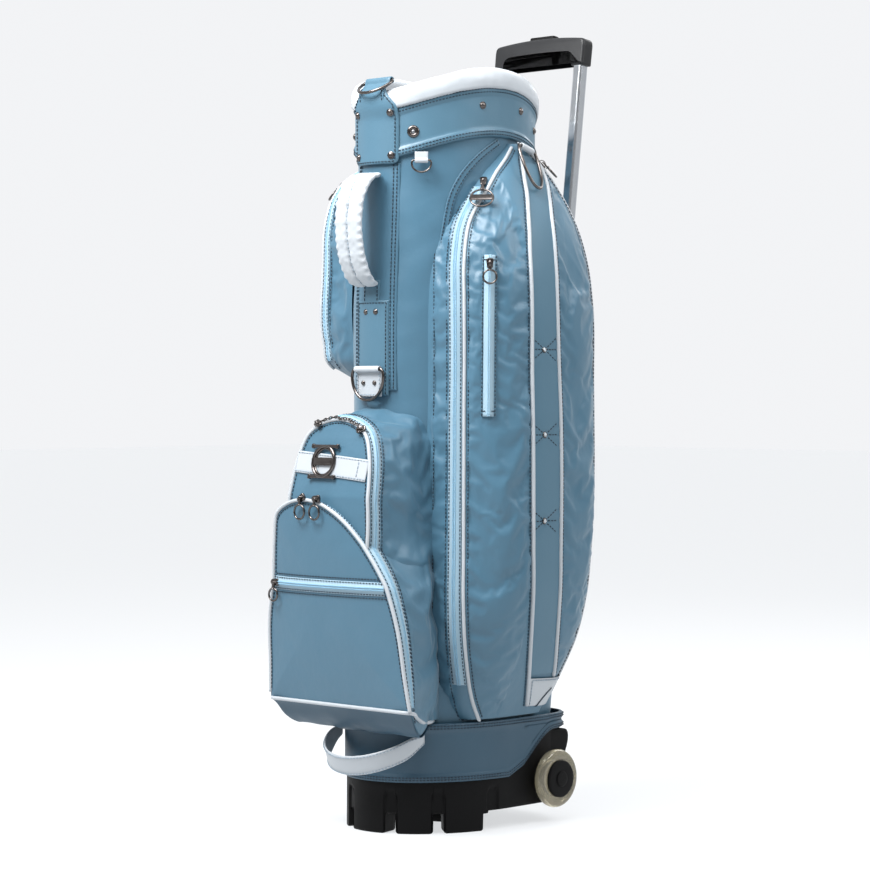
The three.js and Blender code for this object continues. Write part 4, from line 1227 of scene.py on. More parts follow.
def across_ball_pocket(z, count):
    """Level line across the front of the ball pocket, between its pipings, for laying on it."""
    half = np.interp(z, *np.transpose([p[::-1] for p in BALL_POCKET["front"]])) - 3
    return np.array([(x, ball_face(BALL_ZIP_HEIGHT), z) for x in np.linspace(-half, half, count)])


def make_ball_pocket():
    """Large front pocket, with a sagging underside and a straight zip across its front."""
    skin, gusset = make_front_pocket(
        "ball_pocket", "ball_pocket_lower", BALL_POCKET, ball_face, 63, 5.0, 15
    )
    corner = [
        (67, -92, 128), (82, -112, 129), (94, -135, 131.5), (104, -155, 139), (111, -170, 146),
        (108, -174.6, 146.6)
    ]
    foot = [(x, -174.6, 146.6) for x in (80, 50, 20, -20, -50, -80)]
    line = corner + foot + [(-x, y, z) for x, y, z in corner[::-1]]
    # Dark leatherette sheet over the underside: painted shade under the pocket.
    bottom = np.concatenate([gusset[:, ARCH_POINTS - 1 :], gusset[:, :1]], 1)
    lowered = grid(lift_grid(bottom, 1.9, True), flip=True)
    make("ball_pocket_bottom", lowered, PAINTED_SHADE_LEATHER, closed=False)
    path = smooth_path(line, 2.5)
    out = unit(path - [0, -120, 220])
    piping_on("ball_pocket_foot_piping", (path, out), PIPING, lift=0.6)
    zip_on("ball_front_zip", skin, across_ball_pocket(BALL_ZIP_HEIGHT, 40), 15)
    rows = []
    for rise in (-10.5, 10.5):
        rows.append(skin.lay(across_ball_pocket(BALL_ZIP_HEIGHT + rise, 80), 0.1))
    stitch_on("ball_front_stitching", rows)
    under = skin.lay(smooth_path([(x, -171, 143.5) for x in np.linspace(-100, 100, 30)], 3), 0.2)
    stitch_on("ball_foot_stitching", [under])


def make_upper_pocket():
    """Smaller pocket above the ball pocket; returns its surface, which carries a strap and a chain."""
    return make_front_pocket(
        "upper_pocket", "ball_pocket_upper", UPPER_POCKET, upper_face, 71, 2.5, 13
    )[0]


# ---------------------------------------------------------------- left pockets and back cover
def make_left_pocket(name, node, rows, front, rear, seed):
    """Side pocket on the left, between a front and a rear piping."""
    shape = side_shape(rows, -1, cols=110, step=3.4)
    skin = Skin(grid(shape, flip=True))
    front = skin.lay(smooth_path(front, 3))
    rear = skin.lay(smooth_path(rear, 3))
    tape = skin.lay(shifted(front, 10.5))
    lines = [front[0], rear[0]]
    flat = shape.reshape(-1, 3)
    border = edge_rows(*shape.shape[:2])
    stiff = near(flat, lines, SEAM_HOLD) | near(flat, [tape[0]], 9) | border.ravel()
    crease = wrinkle(shape, lines + [tape[0]], 26, 0.9, 19, seed, (0, -0.45, 1))
    crease *= (~stiff).reshape(border.shape)
    shaped = grid(lift_grid(shape, crease, True), flip=True)
    cloth = make(name, shaped, NYLON, replaces=[node], closed=False)
    simulate(cloth, stiff)
    refine(cloth)
    piping_on(name + "_piping_front", front, PIPING)
    piping_on(name + "_piping_rear", rear, PIPING)
    zip_on(name + "_zip", skin, tape[0][6:-6:6], 16)
    rows = [(front, -4.6), (front, 23), (rear, 4.6), (rear, -4.6)]
    stitch_on(name + "_stitching", [skin.lay(shifted(line, side), 0.1) for line, side in rows])


# Piping lines as (x, front y, rear y, z).
LEFT_UPPER_PIPING = [
    (-118, -74, 62, 518), (-122, -86, 78, 532), (-124, -91, 90, 558), (-124, -92, 93, 640),
    (-124, -86, 86, 700), (-122, -76, 78, 726), (-112, -56, 62, 750), (-98, -24, 42, 767),
]
LEFT_LOWER_PIPING = [
    (-98, -64, 62, 130), (-104, -78, 76, 162), (-110, -85, 87, 230), (-110, -83, 91, 330),
    (-106, -76, 84, 364), (-96, -62, 62, 383),
]


def make_left_pockets():
    """Upper and lower side pocket on the left."""
    pockets = (
        ("upper", LEFT_UPPER_POCKET, LEFT_UPPER_PIPING, 81),
        ("lower", LEFT_LOWER_POCKET, LEFT_LOWER_PIPING, 83),
    )
    for level, rows, piping, seed in pockets:
        front = [(x, y, z) for x, y, _, z in piping]
        rear = [(x, y, z) for x, _, y, z in piping]
        make_left_pocket(f"left_{level}_pocket", f"side_pocket_left_{level}", rows, front, rear, seed)


COVER_FLOOR = 119
COVER_HEIGHT = 481


def cover_rise(z):
    """Share of the way up the cover over the handle tubes."""
    return (np.asarray(z, float) - COVER_FLOOR) / COVER_HEIGHT


def cover_back(z):
    """How far back the cover over the handle tubes stands."""
    return lerp(106, 150, cover_rise(z))


def cover_point(angle, z, grow):
    """Point on the cover at an outline angle and a height."""
    rise = cover_rise(z)
    x, y = outline(angle, lerp(88, 86, rise), 20, cover_back(z), lerp(6, 9, rise), grow)
    return np.stack(np.broadcast_arrays(x, y, z), -1)


def make_cover():
    """Cloth cover over the handle tubes behind the barrel."""
    z = np.r_[119, np.arange(122, 597, 4.0), 598.5, 599.6]
    shrink = np.r_[0.0, np.zeros(len(z) - 3), 0.8, 2.6]
    bend = np.linspace(-1, 1, 700)
    rings = []
    for level, inset in zip(z, shrink):
        angle = math.pi / 2 - signed_power(bend, 3.0) * (math.pi / 2 + 0.25)
        ring = cover_point(angle, np.full(len(angle), level), -inset)
        rings.append(resample(ring, count=150))
    points = np.array(rings)
    skin = Skin(grid(points, flip=True))
    edges = []
    for side in (-1, 1):
        line = [
            (side * (60 if level > 130 else 58), cover_back(level), level)
            for level in np.linspace(122, 598, 24)
        ]
        edges.append(skin.lay(smooth_path(line, 3)))
    lines = [edge[0] for edge in edges]
    crease = wrinkle(points, lines, 24, 0.8, 21, 91, (0.4, 0, 1))
    crease *= ~near(points.reshape(-1, 3), lines, 3).reshape(points.shape[:2])
    top = points[-1]
    closing = lerp(top, np.array([0, 118, 599.8]), np.linspace(0, 1, 9)[1:, None, None])
    shaped = np.concatenate([lift_grid(points, crease, True), closing])
    make("back_cover", grid(shaped, flip=True), NYLON, replaces=["spine_cover"], closed=False)
    for number, edge in enumerate(edges):
        piping_on(f"back_piping_{number}", edge, 2.0)
    rows = [skin.lay(shifted(edge, side), 0.1) for edge in edges for side in (-4.6, 4.6)]
    for x in (-22, 22):
        line = [(x, cover_back(level), level) for level in np.linspace(124, 597, 30)]
        rows.append(skin.lay(smooth_path(line, 3), 0.1))
    stitch_on("back_stitching", rows)


make_right_pocket()
make_pocket_seam()
make_ball_pocket()
upper_skin = make_upper_pocket()
make_left_pockets()
make_cover()


# ---------------------------------------------------------------- small solid parts
def plate(outline_points, y0, y1, bevel, place):
    """Outline in local x and z, thick from y0 to y1, with all edges rounded."""
    outline_points = np.asarray(outline_points, float)
    ahead = np.roll(outline_points, -1, 0) - np.roll(outline_points, 1, 0)
    normal = unit(np.column_stack([ahead[:, 1], -ahead[:, 0]]))
    area = np.sum(
        outline_points[:, 0] * np.roll(outline_points[:, 1], -1)
        - outline_points[:, 1] * np.roll(outline_points[:, 0], -1)
    )
    normal *= np.sign(area)
    turn = np.linspace(0, math.pi / 2, 5)
    rows = []
    for y, way in ((y0, 1), (y1, -1)):
        arc = [(bevel * (1 - np.sin(t)), y + way * bevel * (1 - np.cos(t))) for t in turn]
        rows += arc if way > 0 else arc[::-1]
    rings = []
    for inset, y in rows:
        flat = outline_points - normal * inset
        rings.append(np.column_stack([flat[:, 0], np.full(len(flat), y), flat[:, 1]]))
    points, faces = grid(np.array(rings), wrap=True)
    count = len(outline_points)
    last = (len(rings) - 1) * count
    faces += [list(range(count))[::-1], list(range(last, last + count))]
    return place(points), faces


CORNER_POINTS = 7


def rounded(width, height, radius, x=0.0, z=0.0):
    """Rectangle with round corners."""
    turn = np.linspace(0, math.pi / 2, CORNER_POINTS)
    arcs = []
    for quarter, (cx, cz) in enumerate(((1, 1), (-1, 1), (-1, -1), (1, -1))):
        a = turn + quarter * math.pi / 2
        arc_x = x + cx * (width / 2 - radius) + radius * np.cos(a)
        arc_z = z + cz * (height / 2 - radius) + radius * np.sin(a)
        arcs.append(np.column_stack([arc_x, arc_z]))
    return np.vstack(arcs)


def ring_shape(points, wire, place, sides=12, count=84):
    """Closed loop of round wire through local points."""
    path = smooth_path(points, count=count, closed=True)
    normals = np.repeat(np.array([[0.0, 1.0, 0.0]]), len(path), 0)
    out, faces = sweep(path, normals, circle(wire, sides), closed=True)
    return place(out), faces


def planar_normals(points, toward):
    """Normals of a path that lies across X, pointing to the given side."""
    ahead = unit(np.gradient(points, axis=0))
    n = np.cross(ahead, np.array([1.0, 0, 0]))
    return unit(n) * np.sign(np.sum(n * toward, -1).mean())


def rivet_shape(at, out, radius, high):
    """Domed rivet head with a thin rim."""
    place = facing(np.array(at, float), out)
    dome = [(0, high)] + [
        (radius * 0.72 * math.sin(t), high * (0.45 + 0.55 * math.cos(t))) for t in np.linspace(0.3, 1.57, 6)
    ]
    rim_part = [
        (radius * 0.78, high * 0.36), (radius * 0.92, high * 0.38), (radius, high * 0.22), (radius, -0.6),
        (0, -0.6)
    ]
    return revolve(dome + rim_part, place, 28)


def rivets_on(name, skin, spots, radius=4.3, high=2.9):
    """Rivets at the points of a surface nearest to some spots."""
    shapes = []
    for spot in spots:
        at, out, _, _ = skin.tree.find_nearest(Vector(spot))
        shapes.append(rivet_shape(at, out, radius, high))
    make(name, joined(shapes), GUNMETAL)


# ---------------------------------------------------------------- front trim
def patch_front(x, z, grow):
    """Front of the barrel, standing out further where the patch passes over the cuff."""
    extra = 3.4 * smoothstep(z, 804, 822) - 1.6 * smoothstep(z, 828, 840)
    return on_front(x, np.minimum(z, 836), grow + extra) * [1, 1, 0] + np.stack([0 * z, 0 * z, z], -1)


def border_rows(surface, corners, lift):
    """Path along straight runs between corners (x, z) on a surface, with normals."""
    line = resample(np.column_stack([corners, np.zeros(len(corners))]), step=1.5)[:, :2]
    path = surface(line[:, 0], line[:, 1], lift)
    return path, unit(surface(line[:, 0], line[:, 1], lift + 2) - path)


def make_front_trim():
    """Front panel, the strip under the carry handle, the patch at the top, and the handle's lug."""
    panel = sheet_patch(on_front, [(499, -32, 32), (756, -32, 32)], 1.2, 0.1)
    make("front_panel_cloth", panel, NYLON, replaces=["front_panel"], closed=False)
    rows = [border_rows(on_front, [(x, 500), (x, 756)], 1.4) for x in (-29.6, -25.6, 25.6, 29.6)]
    stitch_on("front_panel_stitching", rows, lift=0.15)

    strip = sheet_patch(on_front, [(493, -24, 24), (601, -24, 24)], 1.5, 1.4)
    make("front_strip_leather", strip, LEATHER, closed=False)
    corners = [(-21.5, 494), (-21.5, 598), (21.5, 598), (21.5, 494)]
    stitch_on("front_strip_stitching", [border_rows(on_front, corners, 2.95)], lift=0.1)

    edge = [(755, -27.5, 27.5), (756.5, -31, 31), (759, -32.7, 32.7), (762, -33, 33), (818, -33.4, 33.4),
            (823, -31.5, 31.5), (833, -22.5, 22.5), (836, -20.4, 20.4), (840, -19.8, 19.8)]
    patch = sheet_patch(patch_front, edge, 1.9, 4.3)
    make("top_patch_leather", patch, LEATHER, replaces=["top_patch"], closed=False)
    corners = [
        (-18, 838), (-20, 833), (-30.6, 821), (-30.4, 760), (-28, 757.8), (28, 757.8), (30.4, 760),
        (30.6, 821), (20, 833), (18, 838)
    ]
    stitch_on("top_patch_stitching", [border_rows(patch_front, corners, 6.25)], lift=0.1)
    spots = [patch_front(np.array(x), np.array(z), 6.5) for x in (-26, 26) for z in (764.5, 812.5)]
    rivets_on("top_patch_rivets", Skin(patch), spots)

    lug = sheet_patch(on_front, [(588, -12.5, 12.5), (624, -12.5, 12.5)], 1.6, 1.4)
    make("handle_lug_leather", lug, LEATHER, replaces=["handle_lug"], closed=False)
    rows = [border_rows(on_front, [(x, 600), (x, 622)], 3.05) for x in (-10, 10)]
    stitch_on("handle_lug_stitching", rows, lift=0.1)
    rivets_on("handle_rivets", Skin(strip), [on_front(x, 588, 4) for x in (-8, 8)], 3.3, 2.2)


def make_tongue():
    """Leather tongue that rises from the patch and folds round the bar of the top ring."""
    yz = [
        (-121.4, 826), (-122.6, 832), (-121.6, 838.8), (-116.2, 843.4), (-113.0, 847.2), (-112.3, 850.8),
        (-111.3, 853.1), (-109, 854.0), (-106.7, 853.1), (-105.8, 850.8), (-106.6, 848.6), (-108.6, 847.7)
    ]
    path = smooth_path([(0, y, z) for y, z in yz], 0.8)
    normals = planar_normals(path, np.array([0, -1, 0.6]))
    shape = sweep(path, normals, strip_profile(39.6, 1.7) - [0, 0.85])
    make("tongue_leather", shape, LEATHER, replaces=["ring_tongue"])
    count = int(len(path) * 0.42)
    shown, out = path[:count], normals[:count]
    rows = [(shown + [x, 0, 0] + out * 0.9, out) for x in (-17.2, 17.2)]
    stitch_on("tongue_stitching", rows, lift=0.1)


def bezier(points):
    t = np.linspace(0, 1, 40)[:, None]
    a, b, c, d = (np.array(p, float) for p in points)
    return (1 - t) ** 3 * a + 3 * (1 - t) ** 2 * t * b + 3 * (1 - t) * t**2 * c + t**3 * d


def make_handle():
    """Padded leather carry handle with a stitched channel down its middle, on a flat leather core."""
    outer = np.vstack([
        bezier([(-119.5, 748), (-140, 751), (-163, 735), (-164, 688)]),
        bezier([(-164, 688), (-164, 642), (-146, 614), (-126, 613)])[1:],
    ])
    inner = np.vstack([
        bezier([(-119.5, 737), (-138, 740), (-152, 722), (-152.5, 688)]),
        bezier([(-152.5, 688), (-152, 650), (-141, 625), (-126, 622)])[1:],
    ])
    middle = (outer + inner) / 2
    core = resample(np.column_stack([np.zeros(len(middle)), middle]), step=1.5)
    core_normals = planar_normals(core, np.array([0, -1, 0]))
    # The core takes the darker leatherette: painted shade under the padded handle.
    make("handle_core", sweep(core, core_normals, strip_profile(26, 3.0) - [0, 1.5]), PAINTED_SHADE_LEATHER)
    path, normals = core[4:-3], core_normals[4:-3]
    ahead, across, up = path_frame(path, normals)
    x = np.r_[np.linspace(-1, 1, 49), np.linspace(1, -1, 25)[1:-1]]
    top = np.arange(len(x)) < 49
    bulge = (1 - np.abs(x) ** 4) ** 0.5
    lift = np.where(top, 5.0 * bulge - 2.6 * np.exp(-((x * 20.5 / 1.4) ** 2)), -5.0 * bulge)
    along = chord_lengths(path)
    from_end = np.minimum(along, along[-1] - along)
    width = lerp(19.5, 20.8, smoothstep(from_end, 0, 14))
    thick = lerp(0.62, 1.0, smoothstep(from_end, 0, 22))
    ripple = np.sin(along * 2 * math.pi / 9.4 + 1.4 * np.sin(along / 17))[:, None]
    by_edge = 0.7 * np.exp(-(((np.abs(x) - 1) * 5) ** 2))
    by_channel = np.where(top, 0.4 * np.exp(-((x * 5) ** 2)), 0)
    pucker = ripple * (by_edge + by_channel)[None]
    body = path[:, None] + across[:, None] * (x[None] * (width[:, None] + 0.6 * pucker))[..., None]
    body = body + up[:, None] * (lift[None] * thick[:, None] + pucker)[..., None]
    body = body + up[:, None] * (0.45 * noise(body, 22, 95))[..., None]
    caps = []
    for row, inward in ((body[0], ahead[0]), (body[-1], -ahead[-1])):
        centre = row.mean(0)
        spread = row - centre
        caps.append([centre + spread * 0.86 + inward * 0.2, centre + spread * 0.8 + inward * 3])
    rings = np.array([caps[0][1], caps[0][0], *body, caps[1][0], caps[1][1]])
    points, faces = grid(rings, wrap=True)
    cols, count = len(x), len(rings)
    faces += [list(range(cols)), list(range((count - 1) * cols, count * cols))[::-1]]
    pad = make("carry_handle", (points, faces), WHITE, replaces=["carry_handle_pad"])
    refine(pad)
    seam = path + up * (2.5 * thick)[:, None]
    stitch_on("carry_handle_stitching", [(seam[4:-4], up[4:-4])], GREY_THREAD, lift=0.5)


# ---------------------------------------------------------------- rings and tabs
def d_ring(width, depth, wire, place):
    """Ring of round wire: a straight bar and a deep loop below it."""
    half = width / 2
    right = [(0.3, 0), (0.62, 0), (0.9, 0), (1, -0.09), (1.02, -0.4), (0.72, -0.8), (0.3, -0.98)]
    points = [(half * x, 0, depth * z) for x, z in right]
    points += [(-x, y, z) for x, y, z in points[::-1]]
    return ring_shape(points, wire, place)


def tab_shape(width, wire, length, place):
    """Leather folded round a ring's bar; its flat end runs up or down behind the bar."""
    thick = 1.4
    reach = wire + 1.2
    sign = 1 if length > 0 else -1
    turn = np.linspace(0, 1.72 * math.pi, 26)
    loop = [(0, reach * math.cos(t), -sign * reach * math.sin(t)) for t in turn]
    path = smooth_path([(0, reach, length), (0, reach, length * 0.6), (0, reach, length * 0.25)] + loop, 0.8)
    ahead = unit(np.gradient(path, axis=0))
    normals = np.cross(ahead, np.array([1.0, 0, 0]))
    shape = sweep(path, normals, strip_profile(width, thick) - [0, thick / 2])
    return place(shape[0]), shape[1]


# Each ring: name, place of its bar, its width and depth, its tab's width and length, its wire's radius.
RINGS = [
    ("lower", dict(at=(0, -128.4, 523)), 48, 35, 39, -31, 1.8),
    ("small", dict(at=(57, -99.6, 758), bearing=-46), 21, 13, 15, 10, 1.1),
    ("side", dict(at=(105, 24, 776), bearing=8, lean=26, tilt=14), 36, 53, 24, 6, 1.8),
]


def make_rings():
    for name, where, width, depth, tab, leaf, wire in RINGS:
        place = fixture(**where)
        body = name + "_ring"
        make(name + "_d_ring", d_ring(width, depth, wire, place), GUNMETAL, body, [body])
        make(name + "_tab_leather", tab_shape(tab, wire, leaf, place), WHITE, replaces=[name + "_tab"])
    place = fixture((0, -109, 850.8), lean=57)
    make("top_d_ring", d_ring(44, 27, 1.8, place), GUNMETAL, "top_ring", ["top_ring"])
    place = fixture((0, -128.4, 523))
    shapes = [rivet_shape(place((x, 1.5, -15.5)), (0, -1.0, 0), 2.7, 1.7) for x in (-9, 9)]
    make("lower_tab_rivets", joined(shapes), GUNMETAL)
    edge = np.array([(x, 1.1, z) for x, z in [(-17.6, -5), (-17.6, -29), (17.6, -29), (17.6, -5)]])
    line = place(resample(edge, step=1.2))
    path = (line, np.repeat([[0, -1.0, 0]], len(line), 0))
    stitch_on("lower_tab_stitching", [path], GREY_THREAD, lift=0.15)


def make_collar_hardware():
    """Rivets round the collar, and an eyelet by the top patch."""
    angles = even_angles(360)
    surface = Skin(grid(np.array([collar_at(angles, s, 2.95) for s in np.linspace(0, 1, 12)]), wrap=True))
    spots = [
        (88, -31, 823), (87, 34, 821), (71, 75, 802), (-88, -31, 823), (-87, 34, 821), (-71, 75, 802),
        (-56, -93, 792), (30, 112, 800), (-30, 112, 800)
    ]
    rivets_on("collar_rivets", surface, spots)
    at, out, _, _ = surface.tree.find_nearest(Vector((46.5, -102, 791)))
    place = facing(np.array(at), np.array(out))
    eyelet = [
        (2.6, 0.2), (2.9, 1.4), (4.2, 1.9), (6.0, 1.6), (7.0, 0.7), (7.0, -0.3), (2.6, -0.3), (2.6, 0.2)
    ]
    make("collar_eyelet", revolve(eyelet, place, 48), GUNMETAL)
    core = [(0, 0.6), (2.0, 0.5), (2.55, 0.1), (2.55, -0.3), (0, -0.3)]
    make("eyelet_core", revolve(core, place, 32), STEEL)


# ---------------------------------------------------------------- zip pulls and sliders
# Each pull: body, place of its slider, its ring's radius, its shank's length, how the slider is turned.
PULLS = [
    ("side_zip_pull", dict(at=(95.5, -39, 738), bearing=-52, lean=40), 13, 18, 0),
    ("inner_zip_pull", dict(at=(141.6, -77.4, 640), bearing=-46), 7.5, 9, 0),
    ("ball_zip_pull", dict(at=(-86, -194.6, 281)), 7, 9, 90),
    ("arch_zip_pull_left", dict(at=(-32, -204.5, 378)), 8, 9, 60),
    ("arch_zip_pull_right", dict(at=(-8, -204.5, 378)), 8, 9, 88),
    ("left_zip_pull", dict(at=(-117, -56, 742), bearing=-140, lean=40), 8, 9, 0),
    ("rear_zip_pull", dict(at=(103, 55, 762), bearing=40, lean=42), 7.5, 9, 0),
]


def pull_shape(radius, shank, place, plate_bar):
    """Ring on a waisted shank with an eye, and on the large pull a bar across the ring."""
    turn = np.linspace(0, 2 * math.pi, 16, endpoint=False)
    centre = 1.8 - shank - radius
    loop = [(radius * math.cos(t), 0, centre + radius * math.sin(t)) for t in turn]
    parts = [ring_shape(loop, 1.15, place, 10, 60)]
    stem = [
        (-1.7, 0.9), (-1.3, -shank * 0.45), (-1.9, 1.6 - shank), (1.9, 1.6 - shank), (1.3, -shank * 0.45),
        (1.7, 0.9)
    ]
    stem = smooth_path(np.column_stack([stem, np.zeros(6)]), count=28, closed=True)[:, :2]
    parts.append(plate(stem, -0.9, 0.9, 0.35, place))
    small = [(1.7 * math.cos(t), 1.7 * math.sin(t), 1.6 - shank) for t in turn]
    path = smooth_path(small, count=24, closed=True)
    out, faces = sweep(path, np.repeat([[0, 0, 1.0]], len(path), 0), circle(0.7, 8), closed=True)
    parts.append((place(out), faces))
    if plate_bar:
        parts.append(plate(rounded(2 * radius - 1, 8, 1.2, z=centre + 1), -0.8, 0.8, 0.3, place))
    return joined(parts)


def slider_shape(place, spin):
    """Slider of a zip: a shield-shaped plate with a bridge over it."""
    c, s = math.cos(math.radians(spin)), math.sin(math.radians(spin))
    turned = lambda p: place(np.asarray(p) @ np.array([[c, 0, -s], [0, 1, 0], [s, 0, c]]))
    body = [(-3.9, 5.2), (0, 6.3), (3.9, 5.2), (3.7, 0), (2.4, -5.4), (0, -6), (-2.4, -5.4), (-3.7, 0)]
    body = smooth_path(np.column_stack([body, np.zeros(8)]), count=36, closed=True)[:, :2]
    bridge = [(0, 1.8, 4.2), (0, 0.2, 3.2), (0, -1.1, 1.0), (0, -1.1, -1.0), (0, 0.2, -3.2), (0, 1.8, -4.2)]
    path = smooth_path(bridge, 0.6)
    out, faces = sweep(path, planar_normals(path, np.array([0, -1.0, 0])), strip_profile(2.4, 0.9))
    return joined([plate(body, 1.6, 4.6, 0.8, turned), (turned(out), faces)])


SLIDERS = {"inner_zip_pull": "inner_zip_slider", "ball_zip_pull": "ball_zip_slider"}


def make_pulls():
    """Zip pulls on their own bodies, and sliders that run on the two straight zips."""
    for name, where, radius, shank, spin in PULLS:
        place = fixture(**where)
        pull = pull_shape(radius, shank, place, name == "side_zip_pull")
        make(name + "_metal", pull, GUNMETAL, name, [name])
        runner = SLIDERS.get(name)
        slider = slider_shape(place, spin)
        make(name.replace("pull", "runner"), slider, GUNMETAL, runner or "root", [runner] if runner else [])


# ---------------------------------------------------------------- straps
def make_pocket_strap(skin):
    """White strap across the upper front pocket, stitched along its edges and at its ends."""
    line = [(x, -192, 416 - 0.08 * x) for x in np.linspace(-58, 58, 20)]
    path = skin.lay(smooth_path(line, 2), 0.2, smooth=8)
    make("pocket_strap_leather", sweep(*path, strip_profile(25, 1.7)), WHITE, replaces=["pocket_strap"])
    rows = [(shifted(path, side) + path[1] * 1.75, path[1]) for side in (-10.5, 10.5)]
    _, across, _ = path_frame(*path)
    for i in (20, -8):
        line = path[0][i] + across[i] * np.linspace(-9, 9, 12)[:, None] + path[1][i] * 1.75
        rows.append((line, np.repeat(path[1][i][None], 12, 0)))
    stitch_on("pocket_strap_stitching", rows, GREY_THREAD, lift=0.1)
    make_buckle()


def make_buckle():
    """Ornamental strap buckle: a round ring in a square frame with a bar across."""
    place = fixture((-10, -186.2, 419), lean=11.3)
    lift = lambda p: place(np.asarray(p) + [0, -1.2, 0])
    turn = np.linspace(0, 2 * math.pi, 36, endpoint=False)
    parts = [ring_shape([(17 * math.cos(t), -0.6, 17.4 * math.sin(t)) for t in turn], 1.9, lift, 12, 110)]
    inside = [(14.4 * math.cos(t), 0.2, 14.8 * math.sin(t)) for t in turn]
    parts.append(ring_shape(inside, 1.0, lift, 10, 90))
    for z in (-17.4, 17.4):
        parts.append(plate(rounded(41, 3.6, 1.5, z=z), -1.9, 1.3, 0.8, lift))
        for x in (-19.4, 19.4):
            parts.append(plate(rounded(4.2, 5.6, 1.8, x=x, z=z), -2.2, 1.3, 0.8, lift))
    parts.append(plate(rounded(31, 9, 1.6), -1.8, 0.6, 0.5, lift))
    parts.append(plate(rounded(25, 5, 1.2), -2.3, -1.2, 0.4, lift))
    make("buckle", joined(parts), GUNMETAL, replaces=["strap_buckle"])


def chain_shape(points, normals):
    """Chain of oval links along a path, turned a little from one link to the next."""
    pitch, wire = 4.0, 0.6
    along = chord_lengths(points)
    shapes = []
    count = int(along[-1] / pitch)
    for i in range(count):
        at = [
            np.array([np.interp((i + 0.5) * along[-1] / count, along, data[:, k]) for k in range(3)])
            for data in (points, normals)
        ]
        before = np.array([np.interp(i * along[-1] / count, along, points[:, k]) for k in range(3)])
        ahead = unit(at[0] - before)
        up = unit(at[1] - ahead * (at[1] @ ahead))
        side = np.cross(ahead, up)
        spin = 0.5 if i % 2 else -0.5
        c, s = math.cos(spin), math.sin(spin)
        flat, rise = side * c + up * s, up * c - side * s
        frame_of = lambda p, a=at[0], x=ahead, y=rise, z=flat: a + np.asarray(p) @ np.array([x, y, z])
        turn = np.linspace(0, 2 * math.pi, 14, endpoint=False)
        oval = [(0.66 * pitch * math.cos(t), 0, 1.6 * math.sin(t)) for t in turn]
        shapes.append(ring_shape(oval, wire, frame_of, 8, 30))
    return joined(shapes)


def make_chain(upper):
    """Chain pull that lies along the top of the upper front pocket."""
    line = [(-30, -182, 462), (-12, -181, 474), (8, -180, 476), (28, -179, 472), (44, -178, 462)]
    points, normals = upper.lay(smooth_path(line, 2), 3.2, smooth=6)
    make("upper_zip_chain", chain_shape(points, normals), GUNMETAL)
    runners = []
    for i, spin in ((0, 70), (-1, 110)):
        place = facing(points[i], normals[i], math.radians(spin))
        runners.append(slider_shape(lambda p, f=place: f(np.asarray(p) + [0, -3.2, 0]), 0))
    make("upper_zip_runners", joined(runners), GUNMETAL)


def make_grab_strap():
    """Leather-faced webbing loop in front of the base."""
    count = 90
    turn = np.linspace(math.pi, 2 * math.pi, count)
    sag = -np.sin(turn)
    path = np.column_stack([66 * np.cos(turn), -105 + 60 * np.sin(turn), 108 - 30 * sag])
    out = unit(np.column_stack([np.cos(turn) / 66, np.sin(turn) / 60, 0 * turn]))
    across = unit(np.array([0, 0, 1.0]) + out * (0.35 * sag)[:, None])
    face = unit(out - across * np.sum(out * across, -1, keepdims=True))
    half = lerp(7, 12, smoothstep(sag, 0, 0.4))
    profile = strip_profile(2, 2.8, 5) - [0, 1.4]
    wave = 0.35 * np.sin(np.arange(count) * 1.1)
    width = profile[None, :, :1] * (half + 0.15 * wave)[:, None, None]
    body = path[:, None] + across[:, None] * width + face[:, None] * profile[None, :, 1:]
    points, faces = grid(body, wrap=True)
    cols = len(profile)
    faces += [list(range(cols)), list(range((count - 1) * cols, count * cols))[::-1]]
    make("grab_strap_leather", (points, faces), WHITE, "grab_strap", ["grab_strap"])
    rows = []
    for side in (-1, 1):
        line = path + across * (side * (half - 2.2))[:, None] + face * 1.4
        rows.append(stitches(line + face * 0.1, face, 4.0, 2.8))
    make("grab_strap_stitching", joined(rows), GREY_THREAD, "grab_strap")


# ---------------------------------------------------------------- handle grip and remaining frame parts
def make_grip():
    """Grip across the top of the handle, its push button, and two screws on its underside."""
    under = bezier([(48, 847, 0), (30, 849, 0), (-30, 849, 0), (-48, 847, 0)])[:, :2]
    x = np.linspace(-66, 66, 40)
    over = np.column_stack([x, 866 + 4 * (1 - (x / 66) ** 2)])
    inner_corner = [(53.6, 833), (53, 834), (52.4, 843), (51, 845.6)]
    outer_corner = [(71.6, 834.5), (72, 858), (71.2, 862.5), (69, 865)]
    line = np.vstack([
        [(-71, 833)], [(-x, s) for x, s in inner_corner], under[::-1], inner_corner[::-1],
        [(71, 833)], outer_corner, over[::-1], [(-x, s) for x, s in outer_corner[::-1]],
    ])
    line = resample(np.column_stack([line, np.zeros(len(line))]), count=300, closed=True)[:, :2]
    make("grip", plate(line, -9.5, 9.5, 3.6, tower), GREY, "handle", ["grip_body"])
    count = 4 * CORNER_POINTS
    button = [
        np.column_stack([rounded(40 - 2 * i, 12 - 2 * i, 4 - i), np.full(count, s)])
        for s, i in ((858, 0), (871.8, 0), (873, 0.5), (873.5, 1.6), (873.5, 3.2))
    ]
    points, faces = grid(np.array(button), wrap=True)
    faces += [list(range(count))[::-1], list(range(4 * count, 5 * count))]
    make("push_button", (tower(points), faces), BLACK, "release", ["release_button"])
    screw = [(0, 0.2), (0.6, 0.2), (0.8, 0.7), (2.2, 0.7), (2.6, 0.2), (2.6, -0.3), (0, -0.3)]
    screws = []
    for x in (-24, 24):
        screws.append(revolve(screw, lambda p, x=x: tower(p[:, [0, 2, 1]] + [x, 0, 845.2]), 20))
    make("grip_screws", joined(screws), STEEL, "handle")


